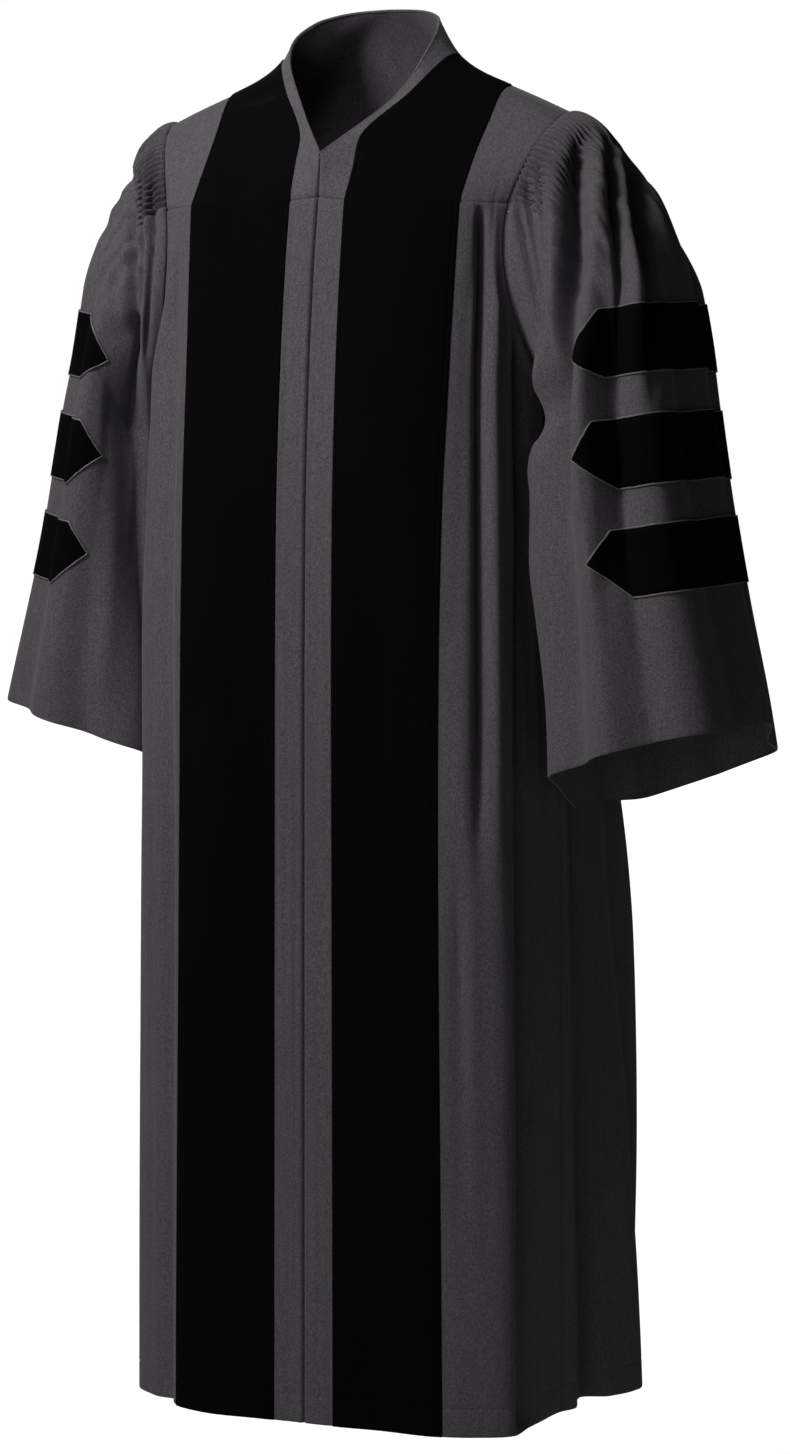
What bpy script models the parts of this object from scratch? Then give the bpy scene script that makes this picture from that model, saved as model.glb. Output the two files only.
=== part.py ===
"""Clergy robe: charcoal gown with a pleated yoke, bell sleeves and black velvet panels and bars.

Metres, Z up. The wearer faces -Y and the wearer's left is +X. The origin is where the wearer holds the
robe up: on the body's axis, level with the top of the shoulders beside the neck. Every piece is a thin
wall of cloth. Its outer face is a function of two coordinates, worked out from the short tables below.
"""

import math

import bmesh
import bpy
import numpy as np
from mathutils import Vector

COLLECTION = "clergy_robe"

# Cloth, seams and trim
WALL = 0.002
PILE = 0.0013
GAP = 0.0003
HEM_Z = -1.34

# The armhole is an ellipse seen from the side
ARM_TOP_Z = -0.063
ARM_BOTTOM_Z = -0.333
ARM_HALF_DEPTH = 0.0945
ARM_TOP_X = 0.2135
ARM_HEIGHT = (ARM_TOP_Z - ARM_BOTTOM_Z) / 2
ARM_MID_Z = (ARM_TOP_Z + ARM_BOTTOM_Z) / 2

# The yoke seam, at the centre and at the armhole, front and back
SEAM_CENTRE_Z = -0.1447
SEAM_SIDE_Z = -0.153
YOKE_CORNER = math.acos((SEAM_SIDE_Z - ARM_MID_Z) / ARM_HEIGHT)

# Half sections of the body by height: centre front, side seam, centre back, the squareness of front and
# back, and how far and where (0 side, 1 centre) the back swells out.
BODY_COLUMNS = ("z", "front_y", "front_power_left", "front_power_right", "side_x", "side_y",
                "back_y", "back_power", "swell_left", "swell_right", "swell_at")
BODY_ROWS = [
    (-0.145, -0.130, 3.0, 3.0, 0.209, 0.000, 0.130, 3.0, 0.000, 0.000, 0.50),
    (-0.220, -0.142, 2.9, 2.9, 0.206, 0.000, 0.142, 2.9, 0.000, 0.000, 0.50),
    (-0.333, -0.154, 3.1, 3.1, 0.200, 0.000, 0.154, 2.8, 0.000, 0.000, 0.50),
    (-0.450, -0.161, 3.7, 3.4, 0.202, 0.006, 0.166, 2.8, 0.010, 0.004, 0.50),
    (-0.600, -0.164, 4.3, 3.7, 0.204, 0.011, 0.180, 2.9, 0.020, 0.008, 0.48),
    (-0.800, -0.165, 5.0, 3.8, 0.207, 0.018, 0.196, 3.0, 0.032, 0.020, 0.42),
    (-1.050, -0.166, 5.2, 3.8, 0.210, 0.026, 0.208, 3.0, 0.040, 0.032, 0.32),
    (-1.340, -0.167, 5.4, 3.8, 0.213, 0.035, 0.218, 3.0, 0.046, 0.040, 0.22),
]

# The body stays inside this beside the sleeves, whose backs lie at these depths and whose cuffs end here
SIDE_LIMIT = 0.2165
SLEEVE_BACK_LEFT = 0.112
SLEEVE_BACK_RIGHT = 0.178
CUFF_FOOT_Z = -0.760

# Edges of the velvet panels across the front, by height
VELVET_COLUMNS = ("z", "inner_x", "outer_x")
VELVET_ROWS = [
    (-0.145, 0.0288, 0.1428),
    (-0.330, 0.0293, 0.1395),
    (-0.530, 0.0298, 0.1385),
    (-1.340, 0.0315, 0.1460),
]

# The yoke is spread across four lines that run over the shoulder: t is 0 at the front seam, 1 at the
# shoulder seam and 2 at the back seam. The front's and the back's own points are added at 0 and 2.
GUIDE_COLUMNS = ("t", "x", "y", "z")
V_TIP_T = 0.25
V_TIP = (0.0, -0.1245, -0.1029)
NAPE_T = 1.45
NAPE = (0.0, 0.0450, 0.0470)
NECKLINE_ROWS = [
    (0.46, 0.0299, -0.0881, -0.0713),
    (0.67, 0.0574, -0.0543, -0.0372),
    (0.86, 0.0757, -0.0303, 0.0040),
    (0.94, 0.0755, -0.0110, 0.0200),
    (1.00, 0.0710, 0.0050, 0.0290),
    (1.15, 0.0590, 0.0245, 0.0385),
    (1.30, 0.0370, 0.0385, 0.0445),
]
CENTRE_BACK_ROWS = [(1.60, 0.0, 0.0720, 0.0120), (1.80, 0.0, 0.1060, -0.0600)]
VELVET_INNER_ROWS = [
    (0.20, 0.0308, -0.1110, -0.1080),
    (0.38, 0.0335, -0.0964, -0.0817),
    (0.58, 0.0574, -0.0662, -0.0520),
    (0.80, 0.0781, -0.0406, -0.0232),
    (0.93, 0.0900, -0.0122, -0.0032),
    (1.00, 0.0890, 0.0080, -0.0015),
    (1.22, 0.0740, 0.0400, 0.0030),
    (1.45, 0.0450, 0.0640, 0.0160),
    (1.70, 0.0470, 0.0960, -0.0450),
]
VELVET_OUTER_ROWS = [
    (0.30, 0.1436, -0.0747, -0.1004),
    (0.58, 0.1458, -0.0454, -0.0677),
    (0.90, 0.1480, -0.0110, -0.0370),
    (1.00, 0.1480, 0.0040, -0.0345),
    (1.22, 0.1400, 0.0380, -0.0390),
    (1.45, 0.1260, 0.0660, -0.0540),
    (1.70, 0.1270, 0.0930, -0.0900),
]
BACK_SEAM_CENTRE_Z = -0.150

# Sections of the hanging sleeve by level. A section's plane rises outwards by SLEEVE_LEAN.
# swing is how far the section's middle lies from the armhole's, towards the back.
SLEEVE_COLUMNS = ("level", "inner_x", "outer_left", "outer_right", "half_depth", "swing_left", "swing_right")
SLEEVE_ROWS = [
    (-0.120, 0.206, 0.288, 0.270, 0.088, -0.003, 0.006),
    (-0.200, 0.210, 0.322, 0.294, 0.100, -0.008, 0.018),
    (-0.280, 0.216, 0.340, 0.311, 0.109, -0.012, 0.030),
    (-0.360, 0.2215, 0.352, 0.326, 0.115, -0.015, 0.037),
    (-0.450, 0.2235, 0.368, 0.346, 0.119, -0.018, 0.042),
    (-0.550, 0.2245, 0.389, 0.373, 0.123, -0.020, 0.045),
    (-0.650, 0.225, 0.412, 0.399, 0.127, -0.020, 0.046),
    (-0.760, 0.226, 0.432, 0.424, 0.130, -0.020, 0.046),
]
SLEEVE_LEAN = 0.15
SLEEVE_MID_X = 0.31
SLEEVE_POWER = 2.6

# Round the sleeve, turn 0 is the outer side, 0.25 the front, 0.5 the inner side and 0.75 the back
CUFF_COLUMNS = ("turn", "z")
CUFF_ROWS = [
    (-0.500, -0.738), (-0.375, -0.737), (-0.250, -0.714), (-0.125, -0.682), (0.000, -0.650),
    (0.125, -0.652), (0.250, -0.668), (0.375, -0.694), (0.500, -0.738),
]
CAP_COLUMNS = ("turn", "level", "out", "spread", "drop", "fall")
CAP_ROWS = [
    (0.00, -0.210, 0.130, 0.000, -0.018, 0.135),
    (0.15, -0.240, 0.105, 0.022, -0.014, 0.125),
    (0.24, -0.290, 0.080, 0.032, -0.014, 0.100),
    (0.30, -0.325, 0.058, 0.034, -0.016, 0.085),
    (0.37, -0.358, 0.042, 0.026, -0.018, 0.070),
    (0.43, -0.382, 0.032, 0.014, -0.018, 0.058),
    (0.50, -0.395, 0.028, 0.000, -0.018, 0.052),
]

# Cartridge pleats: the yoke's share of the armhole takes all of them
SLEEVE_FLUTES = 46
FLUTED_TURN = YOKE_CORNER / (2 * math.pi)
FLUTE_COLUMNS = ("q", "height")
FLUTE_ROWS = [(0.0, 0.0008), (0.13, 0.0016), (0.20, 0.0014), (0.29, 0.0)]
BACK_FLUTES = 40
BACK_FLUTED = 0.93
BACK_FLUTE_DEPTH = 0.0022
BACK_FLUTE_LENGTH = 0.050

# Folds. A row is one ridge (height above 0) or trough (below 0): where it runs at its top and its foot,
# how wide it is there, where it starts and is full, and its height when full and at its foot.
FOLD_COLUMNS = ("top", "foot", "width_top", "width_foot", "start", "full", "height", "height_foot")
FRONT_FOLDS = {
    # place: 0 centre, 1 and 2 the velvet's edges, 3 the side seam; start and full are depths below the origin
    1: [
        (2.125, 2.075, 0.040, 0.030, 0.154, 0.240, -0.009, 0.000),
        (2.220, 2.270, 0.060, 0.090, 0.170, 0.320, 0.006, 0.010),
        (2.800, 2.800, 0.100, 0.090, 0.420, 0.700, 0.007, 0.011),
        (1.500, 1.450, 0.300, 0.300, 0.300, 0.700, -0.002, -0.004),
    ],
    -1: [
        (2.140, 2.100, 0.045, 0.060, 0.154, 0.260, -0.006, -0.012),
        (2.280, 2.360, 0.070, 0.100, 0.200, 0.340, 0.010, 0.014),
        (2.800, 2.760, 0.100, 0.090, 0.420, 0.700, 0.006, 0.012),
        (1.400, 1.600, 0.300, 0.300, 0.300, 0.700, 0.003, 0.005),
    ],
}
BACK_FOLDS = [
    # place: -1 the wearer's right side seam, 0 the centre back, 1 the left side seam
    (-0.43, -0.66, 0.050, 0.060, 0.170, 0.460, 0.008, 0.019),
    (-0.33, -0.47, 0.050, 0.055, 0.170, 0.360, -0.009, -0.015),
    (-0.22, -0.33, 0.045, 0.060, 0.170, 0.400, 0.010, 0.018),
    (-0.13, -0.19, 0.040, 0.050, 0.170, 0.330, -0.008, -0.012),
    (-0.05, -0.05, 0.045, 0.060, 0.170, 0.450, 0.010, 0.016),
    (0.05, 0.11, 0.040, 0.050, 0.170, 0.350, -0.009, -0.014),
    (0.14, 0.25, 0.045, 0.055, 0.170, 0.400, 0.011, 0.020),
    (0.24, 0.40, 0.045, 0.055, 0.170, 0.340, -0.008, -0.013),
    (0.34, 0.54, 0.050, 0.060, 0.170, 0.430, 0.009, 0.017),
    (0.44, 0.71, 0.050, 0.055, 0.170, 0.380, -0.006, -0.012),
]
SLEEVE_FOLDS = {
    # round: turn; start and full are places down the sleeve, 0 the armhole, 1 the cap's end, 2 the cuff
    1: [
        (0.385, 0.400, 0.030, 0.034, 0.70, 1.30, 0.012, 0.010),
        (0.315, 0.335, 0.026, 0.030, 0.40, 1.20, -0.014, -0.012),
        (0.255, 0.270, 0.026, 0.034, 0.40, 1.10, 0.012, 0.010),
        (0.195, 0.200, 0.028, 0.032, 0.40, 1.10, -0.014, -0.010),
        (0.125, 0.125, 0.030, 0.045, 0.40, 1.10, 0.010, 0.008),
        (0.060, 0.050, 0.026, 0.036, 0.40, 1.10, -0.008, -0.008),
        (0.000, -0.015, 0.028, 0.040, 0.40, 1.20, 0.006, 0.007),
        (-0.075, -0.085, 0.026, 0.036, 0.40, 1.10, -0.008, -0.009),
        (-0.140, -0.150, 0.028, 0.036, 0.40, 1.10, 0.010, 0.010),
        (-0.215, -0.220, 0.028, 0.034, 0.40, 1.20, -0.012, -0.011),
        (-0.285, -0.300, 0.028, 0.036, 0.40, 1.20, 0.010, 0.011),
        (-0.360, -0.380, 0.028, 0.034, 0.70, 1.30, -0.010, -0.009),
    ],
    -1: [
        (0.375, 0.385, 0.030, 0.034, 0.70, 1.30, 0.009, 0.010),
        (0.300, 0.310, 0.028, 0.032, 0.40, 1.20, -0.010, -0.010),
        (0.230, 0.240, 0.028, 0.036, 0.40, 1.10, 0.010, 0.009),
        (0.160, 0.165, 0.028, 0.032, 0.40, 1.10, -0.009, -0.008),
        (0.095, 0.090, 0.028, 0.040, 0.40, 1.10, 0.008, 0.007),
        (0.030, 0.020, 0.026, 0.036, 0.40, 1.10, -0.006, -0.006),
        (-0.040, -0.050, 0.028, 0.040, 0.40, 1.20, 0.007, 0.008),
        (-0.115, -0.125, 0.026, 0.036, 0.40, 1.10, -0.009, -0.010),
        (-0.190, -0.195, 0.028, 0.036, 0.40, 1.10, 0.010, 0.010),
        (-0.265, -0.280, 0.028, 0.034, 0.40, 1.20, -0.011, -0.010),
        (-0.345, -0.365, 0.028, 0.036, 0.60, 1.20, 0.009, 0.009),
    ],
}

# Sleeve bars, level with the sleeve's sections, and the corners of their front and back points
BAR_COLUMNS = ("upper_level", "lower_level", "upper_x", "tip_x", "tip_drop", "lower_x")
BAR_ROWS = [
    (-0.250, -0.316, 0.2645, 0.2440, 0.046, 0.2740),
    (-0.356, -0.423, 0.2682, 0.2528, 0.036, 0.2885),
    (-0.461, -0.527, 0.2855, 0.2692, 0.032, 0.3080),
]
BAR_SHIFT = {1: 0.018, -1: 0.009}
BAR_LIMIT_X = 0.2245
BAR_SNAP = 0.0008

# Levels of the hanging sleeve's rings, at the lower bars' edges, by their place down the sleeve
SLEEVE_Q = [1.2, 1.4, 1.5, 1.7]
SLEEVE_LEVELS = [-0.356, -0.423, -0.461, -0.527]
RING_SPACING = 0.12

# How finely the walls are divided
FRONT_ACROSS = [0, 0.5, 1, 1.17, 1.34, 1.5, 1.66, 1.83, 2, 2.08, 2.16, 2.25, 2.36, 2.5, 2.65, 2.8, 2.92, 3]
ARM_TURNS = [0.228, 0.262, 0.302, 0.350, 0.405]
ARM_ROW_HEIGHTS = [ARM_MID_Z + ARM_HEIGHT * math.cos(2 * math.pi * turn) for turn in ARM_TURNS]
BELOW_ARM = [ARM_BOTTOM_Z, -0.420, -0.540, -0.700, -0.900, -1.120, HEM_Z]
FRONT_HEIGHTS = ARM_ROW_HEIGHTS + BELOW_ARM
YOKE_ACROSS = [0, 0.5, 1, 1.17, 1.34, 1.5, 1.66, 1.83, 2, 2.3, 2.65, 3]
YOKE_UP = [0, 0.12, V_TIP_T, 0.38, 0.54, 0.70, 0.84, 0.93, 1]
BACK_YOKE_DOWN = [1, 1.12, 1.28, NAPE_T, 1.58, 1.72, 1.86, 2]
BACK_COARSE = 56
BACK_FINE_ROWS = 2
SLEEVE_COARSE = 58
SLEEVE_FINE_ROWS = [0, 0.13, 0.29]
SLEEVE_COARSE_ROWS = [0.42, 0.60, 0.80, 1.0] + SLEEVE_Q + [2.0]

STEP = 5e-4
CHARCOAL = (0.069, 0.064, 0.066, 1.0)
BLACK = (0.006, 0.006, 0.008, 1.0)


def smooth(t):
    """Ease from 0 to 1."""
    t = np.clip(t, 0.0, 1.0)
    return t * t * (3 - 2 * t)


def unit(v):
    """Vectors of length 1, along the last axis."""
    return v / np.maximum(np.linalg.norm(v, axis=-1, keepdims=True), 1e-12)


def stack(x, y, z):
    """Points from coordinates of any matching shapes."""
    return np.stack(np.broadcast_arrays(x, y, z), axis=-1)


def soft_min(value, limit, ease=0.003):
    """The smaller of two, rounded off where they meet."""
    return 0.5 * (value + limit - np.sqrt((value - limit) ** 2 + ease ** 2))


def squared(angle, power):
    """How far a unit superellipse reaches at an angle."""
    return (np.abs(np.sin(angle)) ** power + np.abs(np.cos(angle)) ** power) ** (-1 / power)


class Curve:
    """A monotone cubic through (key, value) pairs, held level past its ends."""

    def __init__(self, keys, values):
        order = np.argsort(keys)
        self.x = np.asarray(keys, float)[order]
        self.y = np.asarray(values, float)[order]
        step = np.diff(self.x)
        rise = np.diff(self.y) / step
        slope = np.zeros_like(self.y)
        slope[0] = rise[0]
        slope[-1] = rise[-1]
        for i in range(1, len(rise)):
            if rise[i - 1] * rise[i] > 0:
                before = 2 * step[i] + step[i - 1]
                after = step[i] + 2 * step[i - 1]
                slope[i] = (before + after) / (before / rise[i - 1] + after / rise[i])
        self.slope = slope

    def __call__(self, at):
        at = np.clip(at, self.x[0], self.x[-1])
        i = np.clip(np.searchsorted(self.x, at, side="right") - 1, 0, len(self.x) - 2)
        width = self.x[i + 1] - self.x[i]
        t = (at - self.x[i]) / width
        near = (1 + 2 * t) * (1 - t) ** 2 * self.y[i] + t * (1 - t) ** 2 * width * self.slope[i]
        far = t * t * (3 - 2 * t) * self.y[i + 1] + t * t * (t - 1) * width * self.slope[i + 1]
        return near + far


class Table:
    """Named columns, each a Curve over the first one."""

    def __init__(self, columns, rows):
        data = list(zip(*rows))
        self.curves = {name: Curve(data[0], values) for name, values in zip(columns[1:], data[1:])}

    def __getattr__(self, name):
        return self.curves[name]


class Path:
    """A natural cubic spline through (t, x, y, z) rows."""

    def __init__(self, rows):
        rows = np.asarray(rows, float)
        self.t = rows[:, 0]
        self.p = rows[:, 1:]
        count = len(self.t)
        step = np.diff(self.t)
        rise = np.diff(self.p, axis=0) / step[:, None]
        matrix = np.eye(count)
        right = np.zeros((count, 3))
        for i in range(1, count - 1):
            matrix[i, i - 1:i + 2] = step[i - 1], 2 * (step[i - 1] + step[i]), step[i]
            right[i] = 6 * (rise[i] - rise[i - 1])
        self.bend = np.linalg.solve(matrix, right)

    def __call__(self, at):
        at = np.asarray(at, float)
        i = np.clip(np.searchsorted(self.t, at, side="right") - 1, 0, len(self.t) - 2)
        step = (self.t[i + 1] - self.t[i])[..., None]
        b = (at - self.t[i])[..., None] / step
        a = 1 - b
        curved = ((a ** 3 - a) * self.bend[i] + (b ** 3 - b) * self.bend[i + 1]) * step ** 2 / 6
        return a * self.p[i] + b * self.p[i + 1] + curved


BODY = Table(BODY_COLUMNS, BODY_ROWS)
VELVET = Table(VELVET_COLUMNS, VELVET_ROWS)
SLEEVE = Table(SLEEVE_COLUMNS, SLEEVE_ROWS)
CUFF = Table(CUFF_COLUMNS, CUFF_ROWS)
CAP = Table(CAP_COLUMNS, CAP_ROWS)
FLUTE = Table(FLUTE_COLUMNS, FLUTE_ROWS)


def section_x(y, z):
    """How far out the body's section reaches beside the armhole."""
    share = np.abs(y - BODY.side_y(z)) / (BODY.side_y(z) - BODY.front_y(z))
    power = BODY.front_power_left(z)
    return BODY.side_x(z) * (1 - np.clip(share, 0, 1) ** power) ** (1 / power)


def armhole_x(y, z):
    """How far out the armhole seam lies: on the body's section, and above it on a line to the shoulder."""
    corner_y = ARM_HALF_DEPTH * math.sin(YOKE_CORNER)
    top = ARM_TOP_X - section_x(corner_y, SEAM_SIDE_Z)
    above = ARM_TOP_X - top * (y / corner_y) ** 2
    return np.where(z > SEAM_SIDE_Z, above, section_x(y, z))


def armhole_point(angle):
    """The armhole seam at an angle from its top, positive towards the front."""
    y = -ARM_HALF_DEPTH * np.sin(angle)
    z = ARM_MID_Z + ARM_HEIGHT * np.cos(angle)
    return stack(armhole_x(y, z), y, z)


def half_opening(z):
    """Half the depth left open between front and back: the armhole, and below it the side seam."""
    across = np.clip((z - ARM_MID_Z) / ARM_HEIGHT, -1.0, 1.0)
    return np.maximum(ARM_HALF_DEPTH * np.sqrt(1 - across ** 2), GAP / 2)


def edge_angle(z, deep, power):
    """Angle of a half section at which it meets the opening."""
    share = half_opening(z) / deep
    return np.arctan2((1 - share ** power) ** (1 / power), share)


def fold_height(rows, across, down, first, last, period=None):
    """Sum of the folds at a place; first and last are where the cloth starts and ends going down."""
    total = np.zeros(np.broadcast(across, down).shape)
    for top, foot, width_top, width_foot, start, full, height, height_foot in rows:
        drift = smooth((down - first) / (last - first) * 1.6)
        away = across - (top + (foot - top) * drift)
        if period:
            away = (away + period / 2) % period - period / 2
        width = width_top + (width_foot - width_top) * drift
        tall = height + (height_foot - height) * smooth((down - full) / (last - full))
        rise = smooth((down - start) / (full - start))
        total = total + tall * rise * np.exp(-(away / width) ** 2)
    return total


def level_normal(surface, across, down):
    """Unit normals of a surface's level sections."""
    along = surface(across + STEP, down) - surface(across - STEP, down)
    length = np.hypot(along[..., 0], along[..., 1])
    return stack(along[..., 1] / length, -along[..., 0] / length, 0.0)


def normal(surface, across, down):
    """Unit normals of a surface."""
    along = surface(across + STEP, down) - surface(across - STEP, down)
    rise = surface(across, down + STEP) - surface(across, down - STEP)
    return unit(np.cross(along, rise))


def seam_normals(plain, seam, weight):
    """Normals that turn into the seam's own ones as weight goes to 1."""
    weight = np.asarray(weight)[..., None]
    return unit(plain * (1 - weight) + seam * weight)


def grid(a, b):
    """Two coordinates as arrays of one shape."""
    a, b = np.broadcast_arrays(np.asarray(a, float), np.asarray(b, float))
    return a, b


def side_room(z):
    """How far out the body may reach beside the sleeve at a height."""
    beside = section_x(half_opening(z), z) + 0.002
    under = np.minimum(beside + 0.5 * (ARM_BOTTOM_Z - z), SIDE_LIMIT)
    return np.where(z > ARM_BOTTOM_Z, beside, under) + 2 * np.maximum(CUFF_FOOT_Z - z, 0)


def front_start(side, z):
    """Angle of the front's section at the velvet's outer edge, and its power."""
    power = BODY.front_power_left(z) if side > 0 else BODY.front_power_right(z)
    share = VELVET.outer_x(z) / BODY.side_x(z)
    return np.arctan2(share, (1 - share ** power) ** (1 / power)), power


def front_edge(side, z):
    """Place across at which a front ends, 3 below the armhole."""
    start, power = front_start(side, z)
    return 2 + (edge_angle(z, BODY.side_y(z) - BODY.front_y(z), power) - start) / (math.pi / 2 - start)


def front_base(side, place, z):
    """Left half of a front before its folds: place is 0 centre, 1 and 2 the velvet's edges, 3 the side."""
    wide = BODY.side_x(z)
    deep = BODY.side_y(z) - BODY.front_y(z)
    inner = VELVET.inner_x(z)
    start, power = front_start(side, z)
    x = np.where(place < 1, place * inner, inner + (place - 1) * (VELVET.outer_x(z) - inner))
    share = np.clip(np.abs(x) / wide, 0, 0.999)
    angle = start + (place - 2) * (math.pi / 2 - start)
    reach = squared(angle, power)
    flat = place <= 2
    x = np.where(flat, x, wide * reach * np.sin(angle))
    forward = np.where(flat, (1 - share ** power) ** (1 / power), reach * np.cos(angle))
    return stack(x, BODY.side_y(z) - deep * forward, z)


def front_shape(side, place, z):
    """Left half of a front with its folds."""
    place, z = grid(place, z)
    edge = front_edge(side, z)
    rise = fold_height(FRONT_FOLDS[side], place, -z, -SEAM_CENTRE_Z, -HEM_Z)
    rise = rise * smooth((edge - place) / 0.12) * smooth(place / 0.3)
    base = front_base(side, place, z)
    point = base + level_normal(lambda a, h: front_base(side, a, h), place, z) * rise[..., None]
    held = soft_min(point[..., 0], side_room(z))
    point[..., 0] = held + (base[..., 0] - held) * smooth((place - edge + 0.12) / 0.12)
    return point


def front_place(side, across, z):
    """Place on the front's section of a column, where column 3 runs down the armhole and the side seam."""
    return np.where(across > 2, 2 + (across - 2) * (front_edge(side, z) - 2), across)


def front_surface(side, across, z):
    """A front panel's outer face by columns: 0 centre, 1 and 2 the velvet's edges, 3 the panel's edge."""
    across, z = grid(across, z)
    return front_shape(side, front_place(side, across, z), z) * np.array([side, 1.0, 1.0])


def front_seam_z(across):
    """Height of the front yoke seam."""
    return SEAM_CENTRE_Z + (SEAM_SIDE_Z - SEAM_CENTRE_Z) * np.asarray(across, float) / 3


def back_edge(z):
    """Place at which the back ends, 1 below the armhole."""
    return edge_angle(z, BODY.back_y(z) - BODY.side_y(z), BODY.back_power(z)) / (math.pi / 2)


def back_base(place, z):
    """The back before its folds: place runs from -1 at the right side to 1 at the left one."""
    wide = BODY.side_x(z)
    deep = BODY.back_y(z) - BODY.side_y(z)
    angle = place * math.pi / 2
    reach = squared(angle, BODY.back_power(z))
    return stack(wide * reach * np.sin(angle), BODY.side_y(z) + deep * reach * np.cos(angle), z)


def back_shape(place, z):
    """The back with its folds."""
    place, z = grid(place, z)
    edge = back_edge(z)
    away = np.abs(place)
    swell = np.where(place < 0, BODY.swell_right(z), BODY.swell_left(z))
    bulge = swell * np.exp(-((1 - away - BODY.swell_at(z)) / 0.20) ** 2)
    rise = fold_height(BACK_FOLDS, place, -z, -SEAM_SIDE_Z, -HEM_Z) + bulge
    rise = rise * smooth((edge - away) / 0.06)
    base = back_base(place, z)
    point = base - level_normal(back_base, place, z) * rise[..., None]
    behind = np.where(place < 0, SLEEVE_BACK_RIGHT, SLEEVE_BACK_LEFT)
    room = np.where(z > ARM_BOTTOM_Z, 0, 2 * np.maximum(point[..., 1] - behind, 0))
    held = soft_min(np.abs(point[..., 0]), side_room(z) + room) * np.sign(place)
    held = point[..., 0] + (held - point[..., 0]) * smooth((away - 0.3) / 0.2)
    point[..., 0] = held + (base[..., 0] - held) * smooth((away - edge + 0.05) / 0.05)
    return point


def back_seam_z(u):
    """Height of the back yoke seam."""
    return SEAM_SIDE_Z + (BACK_SEAM_CENTRE_Z - SEAM_SIDE_Z) * (1 - np.abs(np.asarray(u, float)))


def back_surface(u, z, fluted=True):
    """The back panel's outer face by columns: -1 the right edge, 0 the centre, 1 the left edge."""
    u, z = grid(u, z)
    place = u * back_edge(z)
    point = back_shape(place, z)
    if fluted:
        phase = (u / BACK_FLUTED + 1) * BACK_FLUTES * math.pi
        fade = smooth((BACK_FLUTE_LENGTH - (back_seam_z(u) - z)) / (BACK_FLUTE_LENGTH * 0.4))
        rise = np.cos(phase) * BACK_FLUTE_DEPTH * fade * smooth((BACK_FLUTED - np.abs(u)) / 0.02)
        point = point - level_normal(back_shape, place, z) * rise[..., None]
    return point


def spread(guides, across):
    """A natural cubic across four guide points in each row, its knots set by the points' distances."""
    p = np.stack(guides, axis=-2)
    gaps = np.linalg.norm(np.diff(p, axis=-2), axis=-1)
    rise = np.diff(p, axis=-2) / gaps[..., None]
    first = 6 * (rise[..., 1, :] - rise[..., 0, :])
    second = 6 * (rise[..., 2, :] - rise[..., 1, :])
    near = 2 * (gaps[..., 0] + gaps[..., 1])[..., None]
    far = 2 * (gaps[..., 1] + gaps[..., 2])[..., None]
    middle = gaps[..., 1][..., None]
    whole = near * far - middle ** 2
    flat = np.zeros_like(first)
    bends = [flat, (first * far - second * middle) / whole, (second * near - first * middle) / whole, flat]
    bend = np.stack(bends, axis=-2)
    k = np.clip(np.floor(across).astype(int), 0, 2)

    def pick(array, index):
        return np.take_along_axis(array, index[..., None, None], axis=-2)[..., 0, :]

    width = np.take_along_axis(gaps, k[..., None], axis=-1)
    b = (across - k)[..., None]
    a = 1 - b
    curved = ((a ** 3 - a) * pick(bend, k) + (b ** 3 - b) * pick(bend, k + 1)) * width ** 2 / 6
    return a * pick(p, k) + b * pick(p, k + 1) + curved


def yoke_arm_angle(t):
    """Angle round the armhole where row t of the yoke ends."""
    return YOKE_CORNER * (1 - t)


BACK_SEAM_U = Curve((0.0, 1.0, 2.0, 3.0), (0.0, 0.26, 0.66, 1.0))
FRONT_FOOT = [front_surface(1, k, front_seam_z(k)) for k in range(4)]
BACK_FOOT = [back_surface(BACK_SEAM_U(k), back_seam_z(BACK_SEAM_U(k)), False) for k in range(4)]
CENTRE_FRONT = Path([(0.0, *FRONT_FOOT[0]), (V_TIP_T, *V_TIP)])
CENTRE_BACK = Path([(NAPE_T, *NAPE)] + CENTRE_BACK_ROWS + [(2.0, *BACK_FOOT[0])])
NECKLINE = Path([(V_TIP_T, *V_TIP)] + NECKLINE_ROWS + [(NAPE_T, *NAPE)])
VELVET_INNER = Path([(0.0, *FRONT_FOOT[1])] + VELVET_INNER_ROWS + [(2.0, *BACK_FOOT[1])])
VELVET_OUTER = Path([(0.0, *FRONT_FOOT[2])] + VELVET_OUTER_ROWS + [(2.0, *BACK_FOOT[2])])


def yoke_surface(side, across, t):
    """The yoke's outer face: t is 0 at the front seam, 1 at the shoulder seam and 2 at the back seam."""
    across, t = grid(across, t)
    low = (t < V_TIP_T)[..., None]
    high = (t > NAPE_T)[..., None]
    rim = NECKLINE(np.clip(t, V_TIP_T, NAPE_T))
    guide0 = np.where(low, CENTRE_FRONT(np.minimum(t, V_TIP_T)), rim)
    guide0 = np.where(high, CENTRE_BACK(np.maximum(t, NAPE_T)), guide0)
    guide3 = armhole_point(yoke_arm_angle(t))
    point = spread([guide0, VELVET_INNER(t), VELVET_OUTER(t), guide3], across)
    shape = across.shape + (3,)
    front_row = spread([np.broadcast_to(p, shape) for p in FRONT_FOOT], across)
    fit = front_surface(1, across, front_seam_z(across)) - front_row
    point = point + fit * (1 - smooth(t / 0.35))[..., None]
    back_row = spread([np.broadcast_to(p, shape) for p in BACK_FOOT], across)
    u = BACK_SEAM_U(across)
    fit = back_surface(u, back_seam_z(u), False) - back_row
    point = point + fit * (1 - smooth((2 - t) / 0.35))[..., None]
    return point * np.array([side, 1.0, 1.0])


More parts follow.
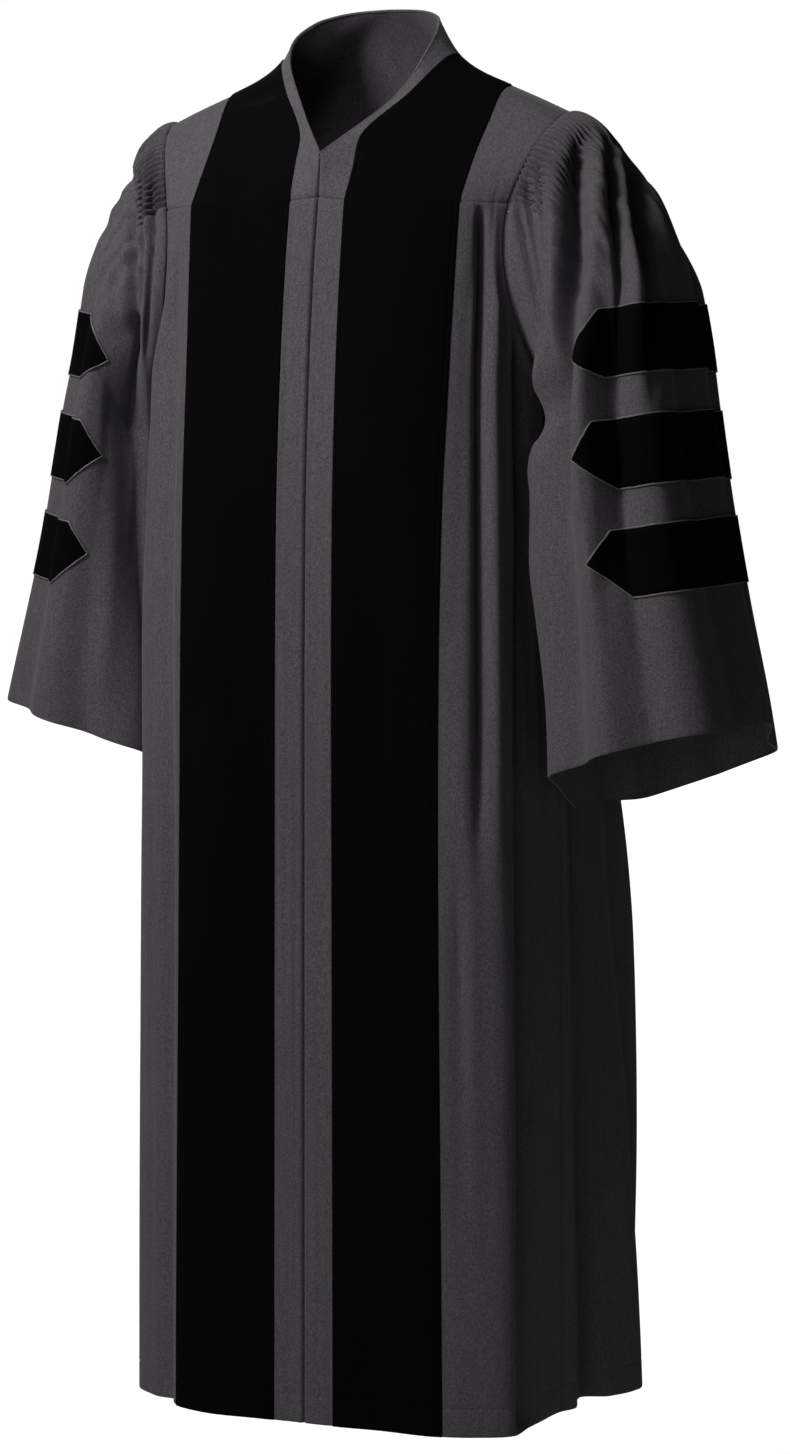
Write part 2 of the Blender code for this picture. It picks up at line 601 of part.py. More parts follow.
def sleeve_section(side, turn, level):
    """A point round the hanging sleeve: turn 0 outer, 0.25 front, 0.5 inner, -0.25 back."""
    inner = SLEEVE.inner_x(level)
    outer = SLEEVE.outer_left(level) if side > 0 else SLEEVE.outer_right(level)
    swing = SLEEVE.swing_left(level) if side > 0 else SLEEVE.swing_right(level)
    angle = turn * 2 * math.pi
    reach = squared(angle, SLEEVE_POWER)
    x = (outer + inner) / 2 + (outer - inner) / 2 * reach * np.cos(angle)
    y = swing - SLEEVE.half_depth(level) * reach * np.sin(angle)
    return stack(x, y, level + SLEEVE_LEAN * (x - SLEEVE_MID_X))


def sleeve_base(side, turn, q):
    """Left-hand form of a sleeve before its folds: q is 0 at the armhole, 1 at the cap's end, 2 at the cuff."""
    turn, q = grid(turn, q)
    round_turn = (turn + 0.5) % 1.0 - 0.5
    angle = turn * 2 * math.pi
    away = np.abs(round_turn)
    cap_level = CAP.level(away)
    cuff_z = CUFF.z(round_turn)
    cuff_level = cuff_z
    for _ in range(2):
        cuff_level = cuff_z - SLEEVE_LEAN * (sleeve_section(side, turn, cuff_level)[..., 0] - SLEEVE_MID_X)
    share = np.clip((q - 1) / (SLEEVE_Q[0] - 1), 0, 1)
    level = np.minimum(np.interp(q, SLEEVE_Q, SLEEVE_LEVELS), cap_level - RING_SPACING * (q - 1))
    level = cap_level + (level - cap_level) * share
    foot = SLEEVE_LEVELS[-1] + (cuff_level - SLEEVE_LEVELS[-1]) * (q - SLEEVE_Q[-1]) / (2 - SLEEVE_Q[-1])
    hang = sleeve_section(side, turn, np.where(q > SLEEVE_Q[-1], foot, level))
    start = armhole_point(angle) + np.array([GAP, 0.0, 0.0])
    lead = stack(CAP.out(away), -CAP.spread(away) * np.sign(round_turn), CAP.drop(away))
    end = sleeve_section(side, turn, cap_level)
    fall = unit(sleeve_section(side, turn, cap_level - 1e-4) - end) * CAP.fall(away)[..., None]
    s = np.minimum(q, 1)[..., None]
    cap = (1 + 2 * s) * (1 - s) ** 2 * start + s * (1 - s) ** 2 * lead
    cap = cap + s * s * (3 - 2 * s) * end + s * s * (s - 1) * fall
    return np.where((q < 1)[..., None], cap, hang)


def sleeve_folds(side, turn, q):
    """Height of the sleeve's folds."""
    rise = fold_height(SLEEVE_FOLDS[side], turn, q, 0.0, 2.0, period=1.0)
    inner = smooth((np.abs((turn + 0.5) % 1.0 - 0.5) - 0.38) / 0.06)
    return rise * (1 - 0.85 * inner)


def sleeve_folded(side, turn, q):
    """Left-hand form of a sleeve with its folds."""
    turn, q = grid(turn, q)
    surface = lambda a, b: sleeve_base(side, a, b)
    return sleeve_base(side, turn, q) + normal(surface, turn, q) * sleeve_folds(side, turn, q)[..., None]


def sleeve_normal(side, turn, q):
    """Unit normals of the folded sleeve, square to the armhole where it is sewn in."""
    surface = lambda a, b: sleeve_folded(side, a, b)
    start = armhole_point(turn * 2 * math.pi) - np.array([0.0, 0.0, ARM_MID_Z])
    radial = unit(start * np.array([0.0, 1.0, 1.0]))
    return seam_normals(normal(surface, turn, q), radial, 1 - smooth(q / 0.15))


def sleeve_surface(side, turn, q):
    """A sleeve's outer face, with its cartridge pleats at the armhole."""
    turn, q = grid(turn, q)
    phase = (turn / FLUTED_TURN + 1) * SLEEVE_FLUTES * math.pi
    flutes = np.cos(phase) * smooth((FLUTED_TURN - np.abs(turn)) / 0.008) * FLUTE.height(q)
    point = sleeve_folded(side, turn, q) + sleeve_normal(side, turn, q) * flutes[..., None]
    return point * np.array([side, 1.0, 1.0])


class Rows:
    """Rows of points with a place across and a normal each, joined into one skin."""

    def __init__(self):
        self.keys = []
        self.points = []
        self.normals = []

    def add(self, keys, points, normals):
        self.keys.append(np.asarray(keys, float))
        self.points.append(points)
        self.normals.append(normals)

    def faces(self, closed, flip):
        """Triangles between neighbouring rows, split the same way in every piece."""
        starts = np.cumsum([0] + [len(k) for k in self.keys])
        found = []
        for r in range(len(self.keys) - 1):
            low = list(range(starts[r], starts[r + 1]))
            high = list(range(starts[r + 1], starts[r + 2]))
            low_keys = list(self.keys[r])
            high_keys = list(self.keys[r + 1])
            if closed:
                low.append(low[0])
                high.append(high[0])
                low_keys.append(low_keys[0] + 1)
                high_keys.append(high_keys[0] + 1)
            if len(low) == len(high):
                for i in range(len(low) - 1):
                    found.append((low[i], low[i + 1], high[i + 1]))
                    found.append((low[i], high[i + 1], high[i]))
                continue
            i = 0
            j = 0
            while i < len(low) - 1 or j < len(high) - 1:
                next_low = low_keys[i + 1] if i < len(low) - 1 else math.inf
                next_high = high_keys[j + 1] if j < len(high) - 1 else math.inf
                if next_low + low_keys[i] <= next_high + high_keys[j]:
                    found.append((low[i], low[i + 1], high[j]))
                    i += 1
                else:
                    found.append((low[i], high[j + 1], high[j]))
                    j += 1
        return [face[::-1] for face in found] if flip else found

    def skin(self, out):
        """All points, moved out along their normals."""
        return np.concatenate(self.points) + np.concatenate(self.normals) * out


def wall(outer, inner, faces, open_at_centre=False):
    """A closed wall between two matching skins; the rim may be left off on the plane x = 0."""
    count = len(outer)
    edges = {(a, b) for face in faces for a, b in zip(face, face[1:] + face[:1])}
    rim = []
    for a, b in sorted(edges):
        centred = open_at_centre and abs(outer[a][0]) < 1e-6 and abs(outer[b][0]) < 1e-6
        if (b, a) not in edges and not centred:
            rim.append((b, a, a + count, b + count))
    inside = [tuple(i + count for i in reversed(face)) for face in faces]
    return np.concatenate([outer, inner]), list(faces) + inside + rim


def material(name, color, roughness):
    """A plain cloth material."""
    made = bpy.data.materials.new(name)
    made.use_nodes = True
    shader = made.node_tree.nodes["Principled BSDF"]
    shader.inputs["Base Color"].default_value = color
    shader.inputs["Roughness"].default_value = roughness
    shader.inputs["Metallic"].default_value = 0.0
    return made


def add_piece(collection, name, points, faces, color, roughness):
    """One named object with its own material."""
    mesh = bpy.data.meshes.new(name)
    mesh.from_pydata([tuple(p) for p in points], [], faces)
    mesh.update()
    piece = bpy.data.objects.new(name, mesh)
    mesh.materials.append(material(name + "_cloth", color, roughness))
    collection.objects.link(piece)
    return piece


def front_rows(side, columns):
    """Rows of a front panel, hem to top."""
    across = np.array(columns, float)
    rows = Rows()
    shape = lambda a, h: front_shape(side, a, h)
    turned = np.array([side, 1.0, 1.0])
    heights = [np.full(across.shape, z) for z in reversed(FRONT_HEIGHTS)] + [front_seam_z(across) - GAP]
    for z in heights:
        place = front_place(side, across, z)
        near = 1 - smooth((front_seam_z(across) - z) / 0.03)
        out = seam_normals(normal(shape, place, z), level_normal(shape, place, z), near) * turned
        middle = 1 - smooth(across / 0.2)
        out = seam_normals(out, unit(out * np.array([0.0, 1.0, 1.0])), middle)
        points = front_surface(side, across, z)
        points[:, 0] = side * np.maximum(side * points[:, 0], GAP / 2)
        rows.add(across, points, out)
    return rows


def yoke_rows(side, columns, heights):
    """Rows of a yoke, from t = heights[0] on."""
    across = np.array(columns, float)
    rows = Rows()
    surface = lambda a, b: yoke_surface(side, a, b)
    for t in heights:
        at = np.full(across.shape, float(t))
        out = normal(surface, across, np.clip(at, STEP, 2 - STEP)) * side
        z = front_seam_z(across)
        place = front_place(side, across, z)
        foot = level_normal(lambda a, h: front_shape(side, a, h), place, z) * np.array([side, 1.0, 1.0])
        out = seam_normals(out, foot, 1 - smooth(at / 0.12))
        u = BACK_SEAM_U(across) * side
        place = u * back_edge(back_seam_z(u))
        foot = -level_normal(back_shape, place, back_seam_z(u))
        out = seam_normals(out, foot, 1 - smooth((2 - at) / 0.12))
        if t < V_TIP_T + 0.001 or t > NAPE_T - 0.001:
            out = seam_normals(out, unit(out * np.array([0.0, 1.0, 1.0])), 1 - smooth(across / 0.2))
        points = yoke_surface(side, across, at)
        if abs(t - 1) < 1e-9:
            points = points + np.array([0.0, GAP / 2 * (-1 if heights[0] < 1 else 1), 0.0])
        if t <= V_TIP_T:
            points[:, 0] = side * np.maximum(side * points[:, 0], GAP / 2)
        rows.add(across, points, out)
    return rows


def back_rows():
    """Rows of the back, top to hem."""
    fine = list(np.linspace(-BACK_FLUTED, BACK_FLUTED, 2 * BACK_FLUTES + 1))
    fine = np.array([-1.0, -0.965] + fine + [0.965, 1.0])
    coarse = np.linspace(-1, 1, BACK_COARSE + 1)
    rows = Rows()
    heights = [(fine, back_seam_z(fine) - GAP)]
    for number, z in enumerate(ARM_ROW_HEIGHTS + BELOW_ARM):
        edge = float(back_edge(z))
        inner = coarse[np.abs(coarse) < edge - 0.4 / BACK_COARSE] / edge
        columns = fine if number < BACK_FINE_ROWS else np.concatenate([[-1.0], inner, [1.0]])
        heights.append((columns, np.full(columns.shape, z)))
    for u, z in heights:
        near = 1 - smooth((back_seam_z(u) - z) / 0.03)
        place = u * back_edge(z)
        out = seam_normals(-normal(back_shape, place, z), -level_normal(back_shape, place, z), near)
        rows.add(place, back_surface(u, z), out)
    return rows


def sleeve_rows(side):
    """Rings of a sleeve, armhole to cuff."""
    fine = list(np.linspace(-FLUTED_TURN, FLUTED_TURN, 2 * SLEEVE_FLUTES + 1))
    fine += ARM_TURNS + [0.5] + [1 - turn for turn in reversed(ARM_TURNS)]
    fine = np.array(fine)
    coarse = np.arange(SLEEVE_COARSE) / SLEEVE_COARSE - FLUTED_TURN
    rows = Rows()
    rings = [(fine, q) for q in SLEEVE_FINE_ROWS] + [(coarse, q) for q in SLEEVE_COARSE_ROWS]
    for turn, q in rings:
        at = np.full(turn.shape, float(q))
        out = sleeve_normal(side, turn, at) * np.array([side, 1.0, 1.0])
        rows.add(turn, sleeve_surface(side, turn, at), out)
    return rows


def cut_bar(collection, name, side, rows, faces, row):
    """A pointed bar: the sleeve's facets between two levels, pointed and laid just outside them."""
    upper, lower, upper_x, tip_x, tip_drop, lower_x = row
    upper_x, tip_x, lower_x = (x + BAR_SHIFT[side] for x in (upper_x, tip_x, lower_x))
    upper_z = upper + SLEEVE_LEAN * (upper_x - SLEEVE_MID_X)
    lower_z = lower + SLEEVE_LEAN * (lower_x - SLEEVE_MID_X)
    tip_z = upper_z - tip_drop
    cuts = [
        (tip_x, tip_z, -(upper_z - tip_z), upper_x - tip_x),
        (tip_x, tip_z, -(tip_z - lower_z), -(lower_x - tip_x)),
    ]
    rings = SLEEVE_FINE_ROWS + SLEEVE_COARSE_ROWS
    if upper in SLEEVE_LEVELS:
        top = rings.index(SLEEVE_Q[SLEEVE_LEVELS.index(upper)])
        foot = rings.index(SLEEVE_Q[SLEEVE_LEVELS.index(lower)])
    else:
        top = len(SLEEVE_FINE_ROWS)
        foot = rings.index(SLEEVE_Q[0])
        cuts.append((upper_x, upper_z, -SLEEVE_LEAN, 1.0))
        cuts.append((lower_x, lower_z, SLEEVE_LEAN, -1.0))
    starts = np.cumsum([0] + [len(k) for k in rows.keys])
    first = starts[top]
    last = starts[foot + 1]
    points = rows.skin(0.0)[first:last]
    picked = [[i - first for i in face] for face in faces if all(first <= i < last for i in face)]
    picked = [face for face in picked if min(side * points[i][0] for i in face) > BAR_LIMIT_X]
    mesh = bpy.data.meshes.new(name)
    mesh.from_pydata([tuple(p) for p in points], [], picked)
    made = bmesh.new()
    made.from_mesh(mesh)
    for x, z, normal_x, normal_z in cuts:
        everything = made.verts[:] + made.edges[:] + made.faces[:]
        across = Vector((side * normal_x, 0, normal_z)).normalized()
        bmesh.ops.bisect_plane(made, geom=everything, dist=BAR_SNAP, plane_co=(side * x, 0, z),
                               plane_no=across, clear_outer=True)
    bmesh.ops.remove_doubles(made, verts=made.verts[:], dist=0.0001)
    loose = [vert for vert in made.verts if not vert.link_faces]
    bmesh.ops.delete(made, geom=loose, context="VERTS")
    made.normal_update()
    for vert in made.verts:
        vert.co += vert.normal * GAP
    made.to_mesh(mesh)
    made.free()
    piece = bpy.data.objects.new(name, mesh)
    mesh.materials.append(material(name + "_velvet", BLACK, 0.95))
    collection.objects.link(piece)
    pile = piece.modifiers.new("pile", "SOLIDIFY")
    pile.thickness = PILE
    pile.offset = 1.0
    return piece


def velvet_rows(side):
    """Rows of a velvet panel, hem to shoulder seam, made from the front's and the yoke's own rows."""
    columns = [c for c in FRONT_ACROSS if 1 <= c <= 2]
    low = front_rows(side, columns)
    high = yoke_rows(side, columns, YOKE_UP)
    rows = Rows()
    for k in range(len(low.keys) - 1):
        rows.add(low.keys[k], low.points[k], low.normals[k])
    for k in range(len(high.keys)):
        rows.add(high.keys[k], high.points[k], high.normals[k])
    return rows


def build():
    """Make every piece."""
    for old in list(bpy.data.objects):
        bpy.data.objects.remove(old, do_unlink=True)
    collection = bpy.data.collections.new(COLLECTION)
    bpy.context.scene.collection.children.link(collection)

    def add(name, outer, inner, faces, color=CHARCOAL, roughness=0.9, half=False):
        points, made = wall(outer, inner, faces, half)
        return add_piece(collection, name, points, made, color, roughness)

    rows = back_rows()
    add("back", rows.skin(0.0), rows.skin(-WALL), rows.faces(False, False))

    rows = yoke_rows(1, YOKE_ACROSS, BACK_YOKE_DOWN)
    piece = add("yoke_back", rows.skin(0.0), rows.skin(-WALL), rows.faces(False, False), half=True)
    mirror = piece.modifiers.new("both halves", "MIRROR")
    mirror.merge_threshold = 0.0001

    for side, word in ((1, "left"), (-1, "right")):
        flip = side < 0
        rows = front_rows(side, FRONT_ACROSS)
        add("front_" + word, rows.skin(0.0), rows.skin(-WALL), rows.faces(False, flip))
        rows = yoke_rows(side, YOKE_ACROSS, YOKE_UP)
        add("yoke_front_" + word, rows.skin(0.0), rows.skin(-WALL), rows.faces(False, flip))
        rows = velvet_rows(side)
        add("velvet_" + word, rows.skin(GAP + PILE), rows.skin(GAP), rows.faces(False, flip), BLACK, 0.95)
        rows = sleeve_rows(side)
        faces = rows.faces(True, flip)
        add("sleeve_" + word, rows.skin(0.0), rows.skin(-WALL), faces)
        for number, row in enumerate(BAR_ROWS, 1):
            cut_bar(collection, "bar_%s_%d" % (word, number), side, rows, faces, row)


build()
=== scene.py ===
"""The robe's looks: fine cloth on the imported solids' form, with its sewing, velvet, light and camera."""

import math
import random
from functools import partial

import bmesh
import bpy
import numpy as np
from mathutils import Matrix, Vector


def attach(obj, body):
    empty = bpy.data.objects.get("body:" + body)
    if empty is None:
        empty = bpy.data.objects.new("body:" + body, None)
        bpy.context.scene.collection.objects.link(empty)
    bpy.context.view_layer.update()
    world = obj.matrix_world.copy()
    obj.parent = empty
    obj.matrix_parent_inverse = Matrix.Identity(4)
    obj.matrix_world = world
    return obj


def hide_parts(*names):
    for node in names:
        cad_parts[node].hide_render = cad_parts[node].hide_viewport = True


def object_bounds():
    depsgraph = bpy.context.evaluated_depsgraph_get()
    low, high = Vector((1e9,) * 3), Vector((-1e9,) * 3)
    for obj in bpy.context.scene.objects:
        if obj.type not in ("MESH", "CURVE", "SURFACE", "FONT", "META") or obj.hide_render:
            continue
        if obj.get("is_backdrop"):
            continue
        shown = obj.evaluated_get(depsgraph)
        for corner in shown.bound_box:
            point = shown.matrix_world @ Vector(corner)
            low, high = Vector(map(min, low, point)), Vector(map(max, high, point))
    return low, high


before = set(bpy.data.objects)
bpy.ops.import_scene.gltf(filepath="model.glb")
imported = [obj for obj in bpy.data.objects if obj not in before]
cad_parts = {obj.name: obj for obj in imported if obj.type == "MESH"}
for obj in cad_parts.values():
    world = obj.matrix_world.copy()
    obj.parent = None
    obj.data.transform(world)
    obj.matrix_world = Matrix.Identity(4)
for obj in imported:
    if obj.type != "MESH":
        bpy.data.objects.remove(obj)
CAD_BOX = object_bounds()

# Cloth, seams and trim
WALL = 0.002
PILE = 0.0013
GAP = 0.0003
SEAM_CLOSED = 0.00002
HEM_Z = -1.34

# The armhole is an ellipse seen from the side
ARM_TOP_Z = -0.063
ARM_BOTTOM_Z = -0.333
ARM_HALF_DEPTH = 0.0945
ARM_TOP_X = 0.2135
ARM_HEIGHT = (ARM_TOP_Z - ARM_BOTTOM_Z) / 2
ARM_MID_Z = (ARM_TOP_Z + ARM_BOTTOM_Z) / 2

# The yoke seam, at the centre and at the armhole, front and back
SEAM_CENTRE_Z = -0.1447
SEAM_SIDE_Z = -0.153
YOKE_CORNER = math.acos((SEAM_SIDE_Z - ARM_MID_Z) / ARM_HEIGHT)

# Half sections of the body by height: centre front, side seam, centre back, the squareness of front and
# back, and how far and where (0 side, 1 centre) the back swells out.
BODY_COLUMNS = ("z", "front_y", "front_power_left", "front_power_right", "side_x", "side_y",
                "back_y", "back_power", "swell_left", "swell_right", "swell_at")
BODY_ROWS = [
    (-0.145, -0.130, 3.0, 3.0, 0.209, 0.000, 0.130, 3.0, 0.000, 0.000, 0.50),
    (-0.220, -0.142, 2.9, 2.9, 0.206, 0.000, 0.142, 2.9, 0.000, 0.000, 0.50),
    (-0.333, -0.154, 3.1, 3.1, 0.200, 0.000, 0.154, 2.8, 0.000, 0.000, 0.50),
    (-0.450, -0.161, 3.7, 3.4, 0.202, 0.006, 0.166, 2.8, 0.010, 0.004, 0.50),
    (-0.600, -0.164, 4.3, 3.7, 0.204, 0.011, 0.180, 2.9, 0.020, 0.008, 0.48),
    (-0.800, -0.165, 5.0, 3.8, 0.207, 0.018, 0.196, 3.0, 0.032, 0.020, 0.42),
    (-1.050, -0.166, 5.2, 3.8, 0.210, 0.026, 0.208, 3.0, 0.040, 0.032, 0.32),
    (-1.340, -0.167, 5.4, 3.8, 0.213, 0.035, 0.218, 3.0, 0.046, 0.040, 0.22),
]

# The body stays inside this beside the sleeves, whose backs lie at these depths and whose cuffs end here
SIDE_LIMIT = 0.2165
SLEEVE_BACK_LEFT = 0.112
SLEEVE_BACK_RIGHT = 0.178
CUFF_FOOT_Z = -0.760

# Edges of the velvet panels across the front, by height
VELVET_COLUMNS = ("z", "inner_x", "outer_x")
VELVET_ROWS = [
    (-0.145, 0.0288, 0.1428),
    (-0.330, 0.0293, 0.1395),
    (-0.530, 0.0298, 0.1385),
    (-1.340, 0.0315, 0.1460),
]

# The yoke is spread across four lines that run over the shoulder: t is 0 at the front seam, 1 at the
# shoulder seam and 2 at the back seam. The front's and the back's own points are added at 0 and 2.
# Columns: t, x, y, z
V_TIP_T = 0.25
V_TIP = (0.0, -0.1245, -0.1029)
NAPE_T = 1.45
NAPE = (0.0, 0.0450, 0.0470)
NECKLINE_ROWS = [
    (0.46, 0.0299, -0.0881, -0.0713),
    (0.67, 0.0574, -0.0543, -0.0372),
    (0.86, 0.0757, -0.0303, 0.0040),
    (0.94, 0.0755, -0.0110, 0.0200),
    (1.00, 0.0710, 0.0050, 0.0290),
    (1.15, 0.0590, 0.0245, 0.0385),
    (1.30, 0.0370, 0.0385, 0.0445),
]
CENTRE_BACK_ROWS = [(1.60, 0.0, 0.0720, 0.0120), (1.80, 0.0, 0.1060, -0.0600)]
VELVET_INNER_ROWS = [
    (0.20, 0.0308, -0.1110, -0.1080),
    (0.38, 0.0335, -0.0964, -0.0817),
    (0.58, 0.0574, -0.0662, -0.0520),
    (0.80, 0.0781, -0.0406, -0.0232),
    (0.93, 0.0900, -0.0122, -0.0032),
    (1.00, 0.0890, 0.0080, -0.0015),
    (1.22, 0.0740, 0.0400, 0.0030),
    (1.45, 0.0450, 0.0640, 0.0160),
    (1.70, 0.0470, 0.0960, -0.0450),
]
VELVET_OUTER_ROWS = [
    (0.30, 0.1436, -0.0747, -0.1004),
    (0.58, 0.1458, -0.0454, -0.0677),
    (0.90, 0.1480, -0.0110, -0.0370),
    (1.00, 0.1480, 0.0040, -0.0345),
    (1.22, 0.1400, 0.0380, -0.0390),
    (1.45, 0.1260, 0.0660, -0.0540),
    (1.70, 0.1270, 0.0930, -0.0900),
]
BACK_SEAM_CENTRE_Z = -0.150

# Sections of the hanging sleeve by level. A section's plane rises outwards by SLEEVE_LEAN.
# swing is how far the section's middle lies from the armhole's, towards the back.
SLEEVE_COLUMNS = ("level", "inner_x", "outer_left", "outer_right", "half_depth", "swing_left", "swing_right")
SLEEVE_ROWS = [
    (-0.120, 0.206, 0.288, 0.270, 0.088, -0.003, 0.006),
    (-0.200, 0.210, 0.322, 0.294, 0.100, -0.008, 0.018),
    (-0.280, 0.216, 0.340, 0.311, 0.109, -0.012, 0.030),
    (-0.360, 0.2215, 0.352, 0.326, 0.115, -0.015, 0.037),
    (-0.450, 0.2235, 0.368, 0.346, 0.119, -0.018, 0.042),
    (-0.550, 0.2245, 0.389, 0.373, 0.123, -0.020, 0.045),
    (-0.650, 0.225, 0.412, 0.399, 0.127, -0.020, 0.046),
    (-0.760, 0.226, 0.432, 0.424, 0.130, -0.020, 0.046),
]
SLEEVE_LEAN = 0.15
SLEEVE_MID_X = 0.31
SLEEVE_POWER = 2.6

# Round the sleeve, turn 0 is the outer side, 0.25 the front, 0.5 the inner side and 0.75 the back
CUFF_COLUMNS = ("turn", "z")
CUFF_ROWS = [
    (-0.500, -0.738), (-0.375, -0.737), (-0.250, -0.714), (-0.125, -0.682), (0.000, -0.650),
    (0.125, -0.652), (0.250, -0.668), (0.375, -0.694), (0.500, -0.738),
]
CAP_COLUMNS = ("turn", "level", "out", "spread", "drop", "fall")
CAP_ROWS = [
    (0.00, -0.210, 0.130, 0.000, -0.018, 0.135),
    (0.15, -0.240, 0.105, 0.022, -0.014, 0.125),
    (0.24, -0.290, 0.080, 0.032, -0.014, 0.100),
    (0.30, -0.325, 0.058, 0.034, -0.016, 0.085),
    (0.37, -0.358, 0.042, 0.026, -0.018, 0.070),
    (0.43, -0.382, 0.032, 0.014, -0.018, 0.058),
    (0.50, -0.395, 0.028, 0.000, -0.018, 0.052),
]

# Cartridge pleats: the yoke's share of the armhole takes all of them
SLEEVE_FLUTES = 46
FLUTED_TURN = YOKE_CORNER / (2 * math.pi)
FLUTE_COLUMNS = ("q", "height")
FLUTE_ROWS = [(0.0, 0.0026), (0.08, 0.0036), (0.18, 0.0032), (0.34, 0.0)]
BACK_FLUTES = 40
BACK_FLUTED = 0.93
BACK_FLUTE_DEPTH = 0.0022
BACK_FLUTE_LENGTH = 0.050

# Folds. A row is one ridge (height above 0) or trough (below 0): where it runs at its top and its foot,
# how wide it is there, where it starts and is full, and its height when full and at its foot.
# Columns: top, foot, width_top, width_foot, start, full, height, height_foot
FRONT_FOLDS = {
    # place: 0 centre, 1 and 2 the velvet's edges, 3 the side seam; start and full: depths below the origin
    1: [
        (2.125, 2.075, 0.04, 0.03, 0.154, 0.24, -0.009, 0.0),
        (2.22, 2.27, 0.06, 0.09, 0.17, 0.32, 0.006, 0.01),
        (2.8, 2.8, 0.1, 0.09, 0.42, 0.7, 0.007, 0.011),
        (1.5, 1.45, 0.3, 0.3, 0.3, 0.7, -0.002, -0.004),
    ],
    -1: [
        (2.14, 2.1, 0.045, 0.06, 0.154, 0.26, -0.006, -0.012),
        (2.28, 2.36, 0.07, 0.1, 0.2, 0.34, 0.01, 0.014),
        (2.8, 2.76, 0.1, 0.09, 0.42, 0.7, 0.006, 0.012),
        (1.4, 1.6, 0.3, 0.3, 0.3, 0.7, 0.003, 0.005),
    ],
}
BACK_FOLDS = [
    # place: -1 the wearer's right side seam, 0 the centre back, 1 the left side seam
    (-0.43, -0.66, 0.05, 0.06, 0.17, 0.46, 0.008, 0.019),
    (-0.33, -0.47, 0.05, 0.055, 0.17, 0.36, -0.009, -0.015),
    (-0.22, -0.33, 0.045, 0.06, 0.17, 0.4, 0.01, 0.018),
    (-0.13, -0.19, 0.04, 0.05, 0.17, 0.33, -0.008, -0.012),
    (-0.05, -0.05, 0.045, 0.06, 0.17, 0.45, 0.01, 0.016),
    (0.05, 0.11, 0.04, 0.05, 0.17, 0.35, -0.009, -0.014),
    (0.14, 0.25, 0.045, 0.055, 0.17, 0.4, 0.011, 0.02),
    (0.24, 0.4, 0.045, 0.055, 0.17, 0.34, -0.008, -0.013),
    (0.34, 0.54, 0.05, 0.06, 0.17, 0.43, 0.009, 0.017),
    (0.44, 0.71, 0.05, 0.055, 0.17, 0.38, -0.006, -0.012),
]
SLEEVE_FOLDS = {
    # round: turn; start and full are places down the sleeve, 0 the armhole, 1 the cap's end, 2 the cuff
    1: [
        (0.385, 0.4, 0.03, 0.034, 0.7, 1.3, 0.012, 0.01),
        (0.315, 0.335, 0.026, 0.03, 0.4, 1.2, -0.014, -0.012),
        (0.255, 0.27, 0.026, 0.034, 0.4, 1.1, 0.012, 0.01),
        (0.195, 0.2, 0.028, 0.032, 0.4, 1.1, -0.014, -0.01),
        (0.125, 0.125, 0.03, 0.045, 0.4, 1.1, 0.01, 0.008),
        (0.06, 0.05, 0.026, 0.036, 0.4, 1.1, -0.008, -0.008),
        (0.0, -0.015, 0.028, 0.04, 0.4, 1.2, 0.006, 0.007),
        (-0.075, -0.085, 0.026, 0.036, 0.4, 1.1, -0.008, -0.009),
        (-0.14, -0.15, 0.028, 0.036, 0.4, 1.1, 0.01, 0.01),
        (-0.215, -0.22, 0.028, 0.034, 0.4, 1.2, -0.012, -0.011),
        (-0.285, -0.3, 0.028, 0.036, 0.4, 1.2, 0.01, 0.011),
        (-0.36, -0.38, 0.028, 0.034, 0.7, 1.3, -0.01, -0.009),
    ],
    -1: [
        (0.375, 0.385, 0.03, 0.034, 0.7, 1.3, 0.009, 0.01),
        (0.3, 0.31, 0.028, 0.032, 0.4, 1.2, -0.01, -0.01),
        (0.23, 0.24, 0.028, 0.036, 0.4, 1.1, 0.01, 0.009),
        (0.16, 0.165, 0.028, 0.032, 0.4, 1.1, -0.009, -0.008),
        (0.095, 0.09, 0.028, 0.04, 0.4, 1.1, 0.008, 0.007),
        (0.03, 0.02, 0.026, 0.036, 0.4, 1.1, -0.006, -0.006),
        (-0.04, -0.05, 0.028, 0.04, 0.4, 1.2, 0.007, 0.008),
        (-0.115, -0.125, 0.026, 0.036, 0.4, 1.1, -0.009, -0.01),
        (-0.19, -0.195, 0.028, 0.036, 0.4, 1.1, 0.01, 0.01),
        (-0.265, -0.28, 0.028, 0.034, 0.4, 1.2, -0.011, -0.01),
        (-0.345, -0.365, 0.028, 0.036, 0.6, 1.2, 0.009, 0.009),
    ],
}

# Short soft creases between the folds, spread unevenly by a seeded draw within limits. A row: place, lean,
# where its middle is going down, its half length, its width and its height.


def uneven(seed, count, across, down, length, width, height):
    """Crease rows drawn within limits, ridges and troughs in turn."""
    draw = random.Random(seed)
    rows = []
    for number in range(count):
        sign = 1 if number % 2 else -1
        place = across[0] + (across[1] - across[0]) * (number + draw.uniform(0.1, 0.9)) / count
        rows.append((place, draw.uniform(-0.06, 0.06), draw.uniform(*down), draw.uniform(*length),
                     draw.uniform(*width), sign * draw.uniform(*height)))
    return rows


